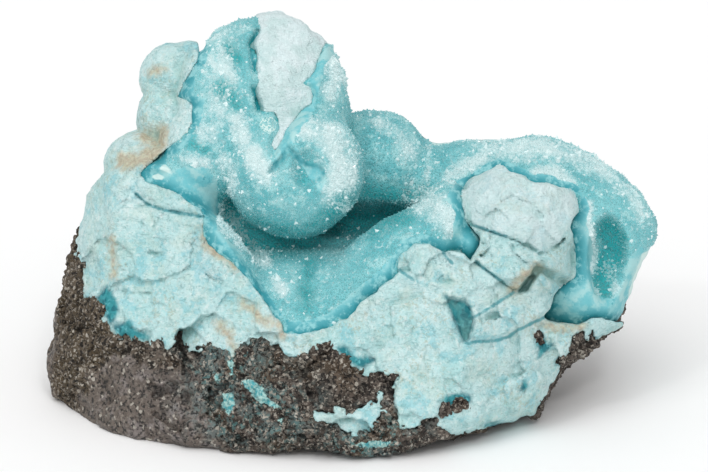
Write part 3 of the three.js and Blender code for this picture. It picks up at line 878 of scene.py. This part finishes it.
def body_field():
    """The broken rock with its block and knobs, before the crust's hollow is taken out."""
    standing_back = GY - deep(relief) * (1 - ramp(GY - deep(front), 1.0, 7.0))
    body = smooth_max(deep(front) - standing_back, GY - deep(back), BODY_BLEND)
    rim = np.maximum(silhouette, outline_distance(BODY_TOP))
    body = smooth_max(body, deep(rim) + 0 * GY, EDGE_ROUNDING)
    room = np.maximum(deep(outline_distance(BLOCK_ROOM)), GY - BLOCK_ROOM_BACK)
    body = np.maximum(body, -room)
    block = ellipsoid(*BLOCK, standing_back)
    for (x, y, z), (lean_x, lean_y, lean_z) in BLOCK_CUTS:
        away = (GX - x) * lean_x + (standing_back - y) * lean_y + (GZ - z) * lean_z
        block = smooth_max(block, away / math.hypot(lean_x, lean_y, lean_z), BLOCK_CUT_BLEND)
    slabs = ellipsoid(*SLABS, standing_back)
    body = smooth_min(smooth_min(body, slabs, BLOCK_BLEND), block, BLOCK_BLEND)
    return smooth_min(body, merged(KNOBS, 0.3, standing_back), KNOB_BLEND)


def make_fields():
    lobes = lobes_field()
    wander = BACK_WANDER * face_noise(4.0, 3, 7.7)
    region = np.maximum(deep(crust_edge), GY - CRUST_BACK - deep(wander))
    mass = smooth_max(body_field(), -region, 0.25)
    mass = np.minimum(mass, lobes)
    mass = np.maximum(mass, foot_field())
    cap = np.maximum(deep(cap_edge), GY - CAP_BACK - deep(wander))
    zone = np.maximum(np.maximum(-CRUST - lobes, region), -cap)
    mass = mass + CAP_STEP * ramp(cap, 0.9, 0.0) * deep(ramp(-silhouette, 0.2, 2.5))
    return mass.astype(np.float32), zone.astype(np.float32)


def host_share():
    """Negative where the rock is host: below its top line in front, climbing towards the back."""
    climb = HOST_RISE * np.maximum(GY - deep(front) - 3.0, 0)
    return (deep(host_edge) - climb * np.ones_like(GZ)).astype(np.float32)


# Each piece dips a little where it passes under its neighbour, so that no gap shows between them.
UNDERLAP = 0.16


def tucked(field, share):
    lowered = field + UNDERLAP * np.clip(1 + share / UNDERLAP, 0, 1)
    return np.maximum(lowered, share - UNDERLAP)


def over_foot(vertices):
    """Height over the resting face."""
    return vertices[:, 2] * math.cos(LEAN) - vertices[:, 1] * math.sin(LEAN) - FOOT


def skin(field, roughness):
    """A field's surface, roughened away from the resting face, coarser where it is hidden."""
    vertices, quads = without_crumbs(*surface(field))
    height = roughness(vertices) * ramp(over_foot(vertices), 0.0, 0.8)
    vertices = vertices + vertex_normals(vertices, quads) * height[:, None]
    hidden = sampled_deep(mass_field, vertices) < HIDDEN_DEPTH
    vertices, quads = coarsened(vertices, quads, hidden, HIDDEN_CELL)
    return coarsened(vertices, quads, vertices[:, 1] > BACK_START, BACK_CELL)


def cavity(vertices):
    """How much rock stands close round each vertex: about a half on a flat face."""
    return sampled_deep(rock_nearby, vertices)


def glassiness(vertices):
    """1 on the smoother, glassier ground of the host rock, and 0 on its grit."""
    place = sampled(glassy_edge, vertices) + 1.1 * layered(vertices, 3.0, 3, 3.3, 0.6)
    return ramp(-place, -0.6, 0.8) * ramp(vertices[:, 1], 9, 5)


def host_roughness(vertices):
    _, owner, near = cell_seeds(vertices, 0.62, 3)
    grains = 0.3 - 1.1 * near * (0.3 + scattered(owner, 911, 3, 7))
    grit = 0.34 * layered(vertices, 2.2, 4, 4.2, 0.7) + 0.95 * grains
    smooth_ground = 0.35 * layered(vertices, 3.4, 3, 9.2, 0.5)
    glassy = glassiness(vertices)
    return grit * (1 - 0.8 * glassy) + smooth_ground * glassy


def make_host():
    vertices, quads = skin(tucked(mass_field, share_field), host_roughness)
    values = {
        "streak": sampled(nearest_outline(HOST_STREAKS), vertices),
        "glassy": glassiness(vertices),
        "left": ramp(vertices[:, 0], -17, -27),
        "cavity": cavity(vertices),
    }
    return make_piece("host_rock_surface", vertices, triangles_of(quads), values)


def chrysocolla_roughness(vertices):
    uneven = 0.1 * layered(vertices, 1.4, 4, 2.2, 0.65)
    bare_cap = ramp(sampled(cap_edge, vertices), 0.2, -0.6)
    return uneven + bare_cap * 0.25 * layered(vertices, 2.4, 3, 6.1, 0.5)


# Millimetres that are added to a distance to keep a mark of the face off the specimen's back.
OFF_FACE = 5


def front_only(distance, vertices):
    """Keeps an outline of the face from showing on the specimen's back."""
    return distance + OFF_FACE * ramp(vertices[:, 1], 5, 8)


def make_chrysocolla():
    field = np.maximum(mass_field, np.maximum(-share_field, -zone_field))
    vertices, quads = skin(field, chrysocolla_roughness)
    far_back = OFF_FACE * (1 - ramp(vertices[:, 1], 4, 0))
    values = {
        "teal": sampled(nearest_outline(TEAL_AREAS), vertices) + far_back,
        "vein": front_only(sampled(vein_edge, vertices), vertices),
        "stain": front_only(sampled(nearest_line(STAIN_LINES), vertices), vertices),
        "smooth": front_only(sampled(np.minimum(cap_edge, boulder_edge), vertices), vertices),
        "clean": 0.6 + 0.32 * ramp(sampled(boulder_edge, vertices), 1, 3),
        "host": sampled(host_edge, vertices) + far_back,
        "cavity": cavity(vertices),
    }
    return make_piece("chrysocolla_mass", vertices, triangles_of(quads), values)


def crust_roughness(vertices):
    smooth_part = ramp(sampled(smooth_edge, vertices), 0.3, -0.1)
    bumps = 0.10 * layered(vertices, 1.6, 2, 8.8) + 0.05 * noise(vertices, 0.6, 2.1)
    return bumps * (1 - 0.9 * smooth_part)


def frost(places):
    """How milky the druse is at each place, 0 to 1."""
    ragged = 0.34 * layered(places, 2.2, 4, 5.0, 0.75)
    return ramp(1 - sampled(frost_fade, places) + ragged, 0.1, 1.35)


def shade(places):
    """How deep in the shade each place of the druse lies, 0 to 1."""
    ragged = 0.25 * layered(places, 1.8, 3, 2.7, 0.6)
    painted = ramp(1 - sampled(shade_fade, places) + ragged, 0.0, 1.2)
    return np.maximum(painted, ramp(sampled_deep(rock_around, places), 0.62, 0.82))


def make_crust():
    vertices, quads = skin(tucked(mass_field, zone_field), crust_roughness)
    values = {
        "smooth_area": sampled(smooth_edge, vertices),
        "edge": sampled(-crust_edge, vertices),
        "frost": frost(vertices),
        "shade": shade(vertices),
        "groove_shade": front_only(sampled(groove_edge, vertices), vertices),
        "plate": sampled(nearest_outline(PALE_PLATES), vertices),
        "cavity": cavity(vertices),
    }
    return make_piece("druse_crust", vertices, triangles_of(quads), values), vertices, quads


# Quartz crystals: six-sided points that stand on the crust.
def crystal_places(vertices, quads, spacing, tries):
    """Evenly strewn random places on the crust, with the way out of the surface at each."""
    corners = vertices[quads]
    across = np.cross(corners[:, 2] - corners[:, 0], corners[:, 3] - corners[:, 1])
    area = np.linalg.norm(across, axis=1)
    middle = corners.mean(axis=1)
    open_air = sampled_deep(mass_field, middle) > -0.45
    rough = sampled(smooth_edge, middle) > 0.05
    rough &= front_only(sampled(groove_edge, middle), middle) > 0.2
    grown = open_air & rough & (sampled_deep(zone_field, middle) < 0.05) & (area > 1e-6)
    chance = np.where(grown, area, 0)
    picked = random.choice(len(quads), int(chance.sum() * tries / spacing**2), p=chance / chance.sum())
    u, v = random.random((2, len(picked), 1))
    low = corners[picked, 0] * (1 - u) + corners[picked, 1] * u
    high = corners[picked, 3] * (1 - u) + corners[picked, 2] * u
    places = low * (1 - v) + high * v
    _, first = np.unique(cube_keys(places, spacing), return_index=True)
    first.sort()
    return places[first], (across / (area[:, None] + 1e-12))[picked[first]]


def crystal_mesh(places, normals, radius, height, tilt):
    """Six-sided pyramids, each with its own lean, turn and off-centre tip."""
    count = len(places)
    axes = normals + tilt[:, None] * random.normal(size=(count, 3))
    axes /= np.linalg.norm(axes, axis=1)[:, None]
    side = np.cross(axes, random.normal(size=(count, 3)))
    side /= np.linalg.norm(side, axis=1)[:, None]
    other = np.cross(axes, side)
    corner = np.arange(CRYSTAL_SIDES)
    angles = corner * math.pi / (CRYSTAL_SIDES / 2)
    stretch = random.uniform(0.8, 1.2, (count, CRYSTAL_SIDES))
    ring = (
        side[:, None] * (np.cos(angles) * stretch)[:, :, None]
        + other[:, None] * (np.sin(angles) * stretch)[:, :, None]
    )
    foot = places[:, None] - axes[:, None] * CRYSTAL_SUNK + ring * radius[:, None, None]
    slant = 0.25 * radius[:, None] * random.normal(size=(count, 1))
    tip = places + axes * height[:, None] + side * slant
    vertices = np.concatenate([foot, tip[:, None]], axis=1).reshape(-1, 3)
    to_tip = np.full(CRYSTAL_SIDES, CRYSTAL_SIDES)
    one = np.stack([corner, (corner + 1) % CRYSTAL_SIDES, to_tip], axis=1)
    faces = (np.arange(count)[:, None, None] * CRYSTAL_VERTICES + one).reshape(-1, 3)
    return vertices, faces


def make_crystals(vertices, quads):
    """The druse in several joined meshes: clear points, milky ones and a few large near-white ones, whose
    white colour is painted glints.
    """
    places, normals = crystal_places(vertices, quads, CRYSTAL_SPACING, 3)
    milkiness = frost(places)
    milky = random.random(len(places)) < milkiness
    white_glint = random.random(len(places)) < WHITE_GLINT_SHARE * (1 + 3 * milkiness)
    scale = random.lognormal(0, 0.3, len(places))
    radius = CRYSTAL_RADIUS * scale * (1 + 0.2 * milky) * np.where(white_glint, WHITE_GLINT_RADIUS, 1)
    height = CRYSTAL_HEIGHT * scale * (1 + 0.5 * milky) * np.where(white_glint, WHITE_GLINT_HEIGHT, 1)
    tilt = np.where(milky | white_glint, 0.5, 0.25)
    kinds = {"clear": ~milky & ~white_glint, "milky": milky & ~white_glint, "white_glint": white_glint}
    made = []
    for kind, chosen in kinds.items():
        index = np.flatnonzero(chosen)
        parts = math.ceil(len(index) / CRYSTALS_PER_MESH)
        for number, some in enumerate(np.array_split(index, parts)):
            points, faces = crystal_mesh(
                places[some], normals[some], radius[some], height[some], tilt[some]
            )
            here = places[some]
            marks = {"frost": milkiness[some], "shade": shade(here), "cavity": cavity(here)}
            values = {key: np.repeat(share, CRYSTAL_VERTICES) for key, share in marks.items()}
            name = f"druse_crystals_{kind}_{number + 1}"
            made.append((make_piece(name, points, faces, values, smooth=False), kind))
    return made


# Materials are made from a few kinds of node.
def srgb(red, green, blue):
    """A judged colour, 0 to 255, as the linear colour that a shader takes."""
    shares = (channel / 255 for channel in (red, green, blue))
    return tuple(((share + 0.055) / 1.055) ** 2.4 for share in shares) + (1,)


class Finish:
    """A material and short ways to add nodes to it."""

    def __init__(self, name, roughness):
        self.material = bpy.data.materials.new(name)
        self.material.use_nodes = True
        self.tree = self.material.node_tree
        self.shader = self.tree.nodes["Principled BSDF"]
        self.shader.inputs["Roughness"].default_value = roughness
        self.place = self.tree.nodes.new("ShaderNodeTexCoord").outputs["Object"]

    def put(self, socket, value):
        if isinstance(value, bpy.types.NodeSocket):
            self.tree.links.new(value, socket)
        else:
            socket.default_value = value

    def noise(self, size, detail=3, rough=0.55, shift=0.0, stretch=None):
        """Noise from 0 to 1 with features of a size in millimetres."""
        texture = self.tree.nodes.new("ShaderNodeTexNoise")
        mapping = self.tree.nodes.new("ShaderNodeMapping")
        mapping.inputs["Location"].default_value = (shift, shift / 2, -shift)
        mapping.inputs["Scale"].default_value = stretch or (1, 1, 1)
        self.put(mapping.inputs["Vector"], self.place)
        self.put(texture.inputs["Vector"], mapping.outputs[0])
        texture.inputs["Scale"].default_value = 1 / (size * MM)
        texture.inputs["Detail"].default_value = detail
        texture.inputs["Roughness"].default_value = rough
        return texture.outputs["Fac"]

    def spots(self, size, start, end, detail=3, rough=0.55, shift=0.0):
        """Noise of a size in millimetres, taken from 0 at start to 1 at end."""
        return self.step(self.noise(size, detail, rough, shift), start, end)

    def cells(self, size):
        """Cells of a size in millimetres, each with its own shade."""
        texture = self.tree.nodes.new("ShaderNodeTexVoronoi")
        self.put(texture.inputs["Vector"], self.place)
        texture.inputs["Scale"].default_value = 1 / (size * MM)
        return texture.outputs["Color"]

    def lines(self, size, width, shift=0.0, whole=0.5):
        """1 on thin wandering lines, broken where the second noise is low; sizes in millimetres."""
        away = self.math("ABSOLUTE", self.math("SUBTRACT", self.noise(size, 5, 0.6, shift), 0.5))
        line = self.step(away, 0.5 * width / size, 0.15 * width / size)
        kept = self.spots(0.8 * size, whole, whole + 0.06, 2, 0.5, shift + 0.3)
        return self.times(line, kept)

    def value(self, name):
        node = self.tree.nodes.new("ShaderNodeAttribute")
        node.attribute_name = name
        return node.outputs["Fac"]

    def math(self, operation, a, b=0.0):
        node = self.tree.nodes.new("ShaderNodeMath")
        node.operation = operation
        self.put(node.inputs[0], a)
        self.put(node.inputs[1], b)
        return node.outputs[0]

    def times(self, a, b):
        return self.math("MULTIPLY", a, b)

    def step(self, value, start, end, low=0.0, high=1.0):
        """Low before start and high past end, with a smooth step between."""
        node = self.tree.nodes.new("ShaderNodeMapRange")
        node.interpolation_type = "SMOOTHSTEP"
        self.put(node.inputs["Value"], value)
        for key, number in (("From Min", start), ("From Max", end), ("To Min", low), ("To Max", high)):
            node.inputs[key].default_value = number
        return node.outputs["Result"]

    def mix(self, share, first, second):
        node = self.tree.nodes.new("ShaderNodeMix")
        node.data_type = "RGBA"
        self.put(node.inputs[0], share)
        self.put(node.inputs[6], first)
        self.put(node.inputs[7], second)
        return node.outputs[2]

    def layer(self, color, share, strength, over):
        """One colour over another, by a share that a strength weakens."""
        return self.mix(self.times(share, strength), color, over)

    def mottled(self, color, layers):
        """A colour under several layers of spots."""
        for size, detail, rough, shift, start, end, strength, over in layers:
            spots = self.spots(size, start, end, detail, rough, shift)
            color = self.layer(color, spots, strength, srgb(*over))
        return color

    def wandering(self, name, size, reach, soft=0.08):
        """1 inside an outline whose distance in millimetres is kept by name, with a ragged edge."""
        wander = self.times(self.math("SUBTRACT", self.noise(size), 0.5), 2 * reach)
        return self.step(self.math("ADD", self.value(name), wander), soft, -soft)

    def bump(self, height, distance, strength=1.0, under=None):
        """Small relief: the height is 0 to 1, and the distance is its depth in millimetres."""
        node = self.tree.nodes.new("ShaderNodeBump")
        node.inputs["Strength"].default_value = strength
        node.inputs["Distance"].default_value = distance * MM
        self.put(node.inputs["Height"], height)
        if under is not None:
            self.put(node.inputs["Normal"], under)
        return node.outputs[0]

    def finish(self, color, roughness=None, normal=None):
        self.put(self.shader.inputs["Base Color"], color)
        if roughness is not None:
            self.put(self.shader.inputs["Roughness"], roughness)
        if normal is not None:
            self.put(self.shader.inputs["Normal"], normal)
        return self.material


# Layers of spots: size, detail, roughness and shift of the noise, where the spots start and are
# full, how strong they are and their colour.
PALE_MOTTLING = (
    (2.6, 5, 0.6, 0.09, 0.5, 0.62, 0.4, (196, 218, 206)),
    (1.1, 6, 0.7, 0.02, 0.45, 0.62, 0.45, (154, 206, 208)),
    (0.8, 6, 0.7, 0.07, 0.52, 0.66, 0.7, (226, 242, 240)),
    (3.0, 6, 0.65, 0.02, 0.54, 0.63, 0.6, (134, 206, 216)),
)
PALE_FLECKS = (
    (0.4, 3, 0.7, 0.01, 0.57, 0.66, 0.5, (124, 176, 174)),
    (0.3, 3, 0.7, 0.14, 0.56, 0.64, 0.5, (226, 242, 240)),
)
DRUSE_MOTTLING = (
    (1.6, 5, 0.65, 0.05, 0.5, 0.66, 1.0, (156, 208, 210)),
    (0.5, 3, 0.6, 0.09, 0.58, 0.68, 1.0, (184, 218, 220)),
)
BAND_MOTTLING = (
    (1.2, 5, 0.65, 0.03, 0.46, 0.62, 1.0, (140, 202, 206)),
    (0.7, 4, 0.7, 0.08, 0.58, 0.68, 1.0, (70, 164, 176)),
)


def pale_color(look, scratches):
    """Pale blue-green, mottled from broad to fine, with tan areas and scratches."""
    color = look.mix(look.spots(6.0, 0.35, 0.68), srgb(208, 236, 236), srgb(184, 225, 225))
    color = look.mottled(color, PALE_MOTTLING)
    tan_area = look.spots(5.0, 0.48, 0.6, 4, 0.55, 0.05)
    tan_lines = look.times(look.lines(1.3, 0.12, 0.03, 0.5), tan_area)
    color = look.layer(color, tan_lines, 0.35, srgb(172, 166, 128))
    tan_flecks = look.times(look.spots(0.4, 0.58, 0.66, 3, 0.7, 0.11), tan_area)
    color = look.layer(color, tan_flecks, 0.35, srgb(180, 184, 158))
    color = look.layer(color, look.lines(3.0, 0.10, 0.06, 0.56), 0.3, srgb(104, 160, 162))
    color = look.mottled(color, PALE_FLECKS)
    return look.layer(color, look.step(scratches, 0.57, 0.65), 0.4, srgb(126, 178, 176))


def marked_color(look, color):
    """The pale stone's own places: stains, smooth planes, deep teal, veins and its rim; then painted shade
    in its corners.
    """
    stain = look.mix(look.spots(0.5, 0.4, 0.6, 4, 0.7), srgb(184, 148, 104), srgb(208, 192, 152))
    color = look.layer(color, look.wandering("stain", 0.9, 0.9, 0.6), 0.68, stain)
    clean_spots = look.spots(2.0, 0.4, 0.62, 5, 0.6, 0.04)
    clean = look.mix(clean_spots, srgb(226, 242, 244), srgb(206, 230, 230))
    color = look.layer(color, look.wandering("smooth", 0.9, 0.2, 0.25), look.value("clean"), clean)
    patches = look.step(look.cells(0.7), 0.2, 0.8)
    deep_teal = look.mix(patches, srgb(12, 112, 124), srgb(52, 154, 162))
    deep_teal = look.mix(look.spots(0.7, 0.54, 0.68, 4, 0.6), deep_teal, srgb(104, 190, 198))
    color = look.mix(look.wandering("teal", 0.9, 0.5, 0.35), color, deep_teal)
    color = look.layer(color, look.wandering("vein", 0.7, 0.16, 0.1), 0.85, srgb(62, 154, 164))
    color = look.layer(color, look.wandering("host", 0.5, 0.4, 0.12), 0.6, srgb(58, 118, 116))
    # Painted shade: a darker blue-green where much rock stands close round, in corners and creases.
    painted_corner_shade = look.step(look.value("cavity"), 0.58, 0.76)
    return look.layer(color, painted_corner_shade, 0.6, srgb(118, 176, 172))


def chrysocolla_finish():
    """Pale blue-green stone: flecked and veined, deep teal in places, whiter where it is smooth."""
    look = Finish("chrysocolla_finish", 0.5)
    scratches = look.noise(0.5, 4, 0.7, 0.03, (0.35, 0.35, 1.4))
    color = marked_color(look, pale_color(look, scratches))
    grain = look.bump(look.noise(0.3, 4, 0.7), 0.16)
    chips = look.bump(look.noise(0.9, 5, 0.65, 0.08), 0.38, 1.0, grain)
    chips = look.bump(scratches, 0.2, 0.8, chips)
    between_grooves = look.math("SUBTRACT", 1.0, look.lines(3.0, 0.14, 0.06, 0.56))
    grooves = look.bump(between_grooves, 0.08, 0.6, chips)
    return look.finish(color, look.step(look.noise(0.8), 0.3, 0.7, 0.45, 0.7), grooves)


def druse_color(look):
    """Blue-green, deeper where little light comes, whiter where the druse is frosted."""
    color = look.mix(look.spots(4.5, 0.35, 0.65), srgb(96, 180, 186), srgb(132, 198, 202))
    color = look.mottled(color, DRUSE_MOTTLING)
    color = look.layer(color, look.value("frost"), 0.8, srgb(212, 228, 228))
    # Painted shade: deep teal in corners where much rock stands close round, and in the recesses and
    # hollows that the shade value marks.
    color = look.mix(look.step(look.value("cavity"), 0.58, 0.8), color, srgb(16, 162, 166))
    return look.layer(color, look.value("shade"), 0.9, srgb(4, 158, 162))


def band_color(look):
    """The crust's smooth broken edge: deep teal at its rim, veiled with white farther in."""
    from_rim = look.value("edge")
    band = look.mix(look.step(from_rim, 0.1, 1.6), srgb(40, 144, 156), srgb(112, 192, 200))
    band = look.mottled(band, BAND_MOTTLING)
    veil = look.times(look.spots(2.2, 0.44, 0.56, 5, 0.6, 0.01), look.step(from_rim, 0.8, 1.8))
    return look.layer(band, veil, 0.6, srgb(186, 222, 220))


def crust_finish():
    """Blue-green chalcedony: smooth on its broken edge, sugary where the crystals grow."""
    look = Finish("druse_crust_finish", 0.35)
    color = look.mix(look.wandering("smooth_area", 0.8, 0.2), druse_color(look), band_color(look))
    color = look.mix(look.wandering("plate", 0.7, 0.2), color, srgb(206, 232, 228))
    # Painted shade: dark teal along the crust's grooves, over their real dents.
    color = look.layer(color, look.wandering("groove_shade", 0.9, 0.4, 0.25), 0.85, srgb(16, 134, 146))
    grain = look.bump(look.noise(0.4, 4, 0.7), 0.14, 0.7)
    return look.finish(color, look.step(look.noise(0.5), 0.3, 0.7, 0.5, 0.7), grain)


def host_ground(look, glassy):
    """Dark brown rock, warmer at its left end, greyer on its glassy ground."""
    color = look.mix(look.spots(1.6, 0.4, 0.6, 5, 0.6), srgb(52, 44, 38), srgb(102, 92, 84))
    color = look.layer(color, look.spots(4.5, 0.5, 0.62, 3, 0.5, 0.12), 0.4, srgb(96, 78, 56))
    color = look.layer(color, look.value("left"), 0.5, srgb(92, 80, 58))
    color = look.layer(color, glassy, 0.6, srgb(112, 102, 96))
    veil = look.times(look.spots(1.8, 0.5, 0.62, 5, 0.6, 0.06), glassy)
    return look.layer(color, veil, 0.6, srgb(146, 138, 136))


def host_teal(look, color):
    """Teal and grey-teal spots that thin out away from the pale streaks."""
    from_streaks = look.value("streak")
    teal = look.times(look.spots(1.0, 0.5, 0.6, 5, 0.7, 0.15), look.step(from_streaks, 4.5, 0.5))
    color = look.layer(color, teal, 0.6, srgb(92, 150, 150))
    grey = look.times(look.spots(2.4, 0.48, 0.6, 5, 0.65, 0.02), look.step(from_streaks, 7.0, 1.5))
    return look.layer(color, grey, 0.55, srgb(104, 128, 128))


def host_finish():
    """Dark gritty rock: black pores and pale grains, smoother and glassier at its left end."""
    look = Finish("host_rock_finish", 0.8)
    glassy = look.value("glassy")
    color = host_teal(look, host_ground(look, glassy))
    color = look.layer(color, look.spots(0.42, 0.49, 0.41, 3, 0.6, 0.01), 0.9, srgb(14, 12, 10))
    rough_ground = look.math("SUBTRACT", 1.0, look.times(glassy, 0.6))
    pale_grains = look.times(look.spots(0.36, 0.55, 0.62, 3, 0.6, 0.04), rough_ground)
    color = look.layer(color, pale_grains, 0.8, srgb(166, 158, 146))
    color = look.layer(color, look.step(look.cells(0.3), 0.84, 0.88), 0.7, srgb(196, 190, 178))
    streak = look.mix(look.spots(0.5, 0.4, 0.6), srgb(178, 218, 212), srgb(74, 164, 172))
    color = look.mix(look.wandering("streak", 0.5, 0.5), color, streak)
    # Painted shade: near black where much rock stands close round, in the host rock's hollows.
    color = look.layer(color, look.step(look.value("cavity"), 0.54, 0.66), 0.7, srgb(16, 12, 10))
    grit = look.bump(look.noise(0.42, 3, 0.6, 0.01), 0.4)
    pits = look.bump(look.noise(1.0, 4, 0.7, 0.02), 0.4, 0.9, grit)
    return look.finish(color, look.step(glassy, 0, 1, 0.85, 0.4), pits)


def quartz_finish(name, lightening, roughness, clear):
    """Quartz over the crust's tint and its painted shade, more or less clear and white."""
    look = Finish(name, roughness)
    look.shader.inputs["Transmission Weight"].default_value = clear
    look.shader.inputs["IOR"].default_value = QUARTZ_IOR
    look.shader.inputs["Specular IOR Level"].default_value = 0.3
    color = look.mix(lightening, druse_color(look), srgb(226, 242, 242))
    return look.finish(color)


def floor_finish():
    look = Finish("floor_white", 0.7)
    return look.finish(look.mix(look.noise(30), (0.96, 0.96, 0.96, 1), (0.98, 0.98, 0.98, 1)))


# The camera looks along the face frame's depth, from far off.
def make_camera():
    data = bpy.data.cameras.new("camera")
    data.sensor_width = 36
    data.lens = data.sensor_width * CAMERA_DISTANCE / VIEW_WIDTH
    data.clip_end = 10
    camera = put_in_scene("camera", data)
    place = np.array([[VIEW_CENTRE[0], -CAMERA_DISTANCE, VIEW_CENTRE[1]]])
    camera.location = in_part_frame(place)[0]
    camera.rotation_euler = (math.pi / 2 - LEAN, 0, 0)
    bpy.context.scene.camera = camera


def make_floor():
    mesh = bpy.data.meshes.new("floor")
    half = 1.5
    mesh.from_pydata(
        [(-half, -half, 0), (half, -half, 0), (half, half, 0), (-half, half, 0)], [], [(0, 1, 2, 3)]
    )
    floor = put_in_scene("floor", mesh)
    floor.data.materials.append(floor_finish())


def make_light(name, towards, width, power):
    data = bpy.data.lights.new(name, "SUN")
    data.angle = math.radians(width)
    data.energy = power
    light = put_in_scene(name, data)
    light.rotation_euler = Vector(towards).to_track_quat("Z", "Y").to_euler()


def make_world():
    world = bpy.data.worlds.new("studio")
    world.use_nodes = True
    background = world.node_tree.nodes["Background"]
    background.inputs["Color"].default_value = (1, 1, 1, 1)
    background.inputs["Strength"].default_value = WORLD_STRENGTH
    bpy.context.scene.world = world
    bpy.context.scene.view_settings.view_transform = "Standard"


make_camera()
make_world()
make_floor()
for name, (towards, width, power) in LIGHTS.items():
    make_light(name, towards, width, power)

random = np.random.default_rng(SEED)
smooth_edge = np.minimum(nearest_outline(SMOOTH_AREAS), np.maximum(crust_edge, -bowl - 0.15))
smooth_edge += edge_wander + 0.25 * face_noise(1.6, 3, 8.1, 0.6)
frost_fade = nearest_fade(FROST_LINES)
shade_fade = nearest_fade(SHADE_LINES)
glassy_edge = nearest_outline(GLASSY_PATCHES)
boulder_edge = outline_distance(BOULDER)
groove_edge = nearest_line([(line, GROOVE_HALF) for line in CRUST_GROOVES])
vein_edge = nearest_line([(line, VEIN_WIDTH) for line in TEAL_VEINS])
mass_field, zone_field = make_fields()
share_field = host_share()
rock = (mass_field < 0).astype(np.float32)
rock_nearby = box_blur(rock, round(CAVITY_REACH / CELL))
rock_around = box_blur(rock, round(SHADE_REACH / CELL))

host = make_host()
chrysocolla = make_chrysocolla()
crust, crust_vertices, crust_quads = make_crust()
host.data.materials.append(host_finish())
chrysocolla.data.materials.append(chrysocolla_finish())
crust.data.materials.append(crust_finish())
quartz = {
    "clear": quartz_finish("clear_quartz_finish", 0.15, 0.25, 0.45),
    "milky": quartz_finish("milky_quartz_finish", 0.5, 0.3, 0.3),
    # Painted glints: near-white, nearly opaque quartz standing in for sparkles; its smooth facets also
    # catch the lamps.
    "white_glint": quartz_finish("white_glint_quartz_finish", 0.95, 0.08, 0.15),
}
pieces = [(host, "host_rock"), (chrysocolla, "chrysocolla"), (crust, "quartz_druse")]
for crystals, kind in make_crystals(crust_vertices, crust_quads):
    crystals.data.materials.append(quartz[kind])
    crystals.visible_shadow = False
    crystals.visible_diffuse = False
    pieces.append((crystals, "quartz_druse"))
for piece, node in pieces:
    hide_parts(node)
    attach(piece, "root")
    print(piece.name, len(piece.data.polygons), "triangles")
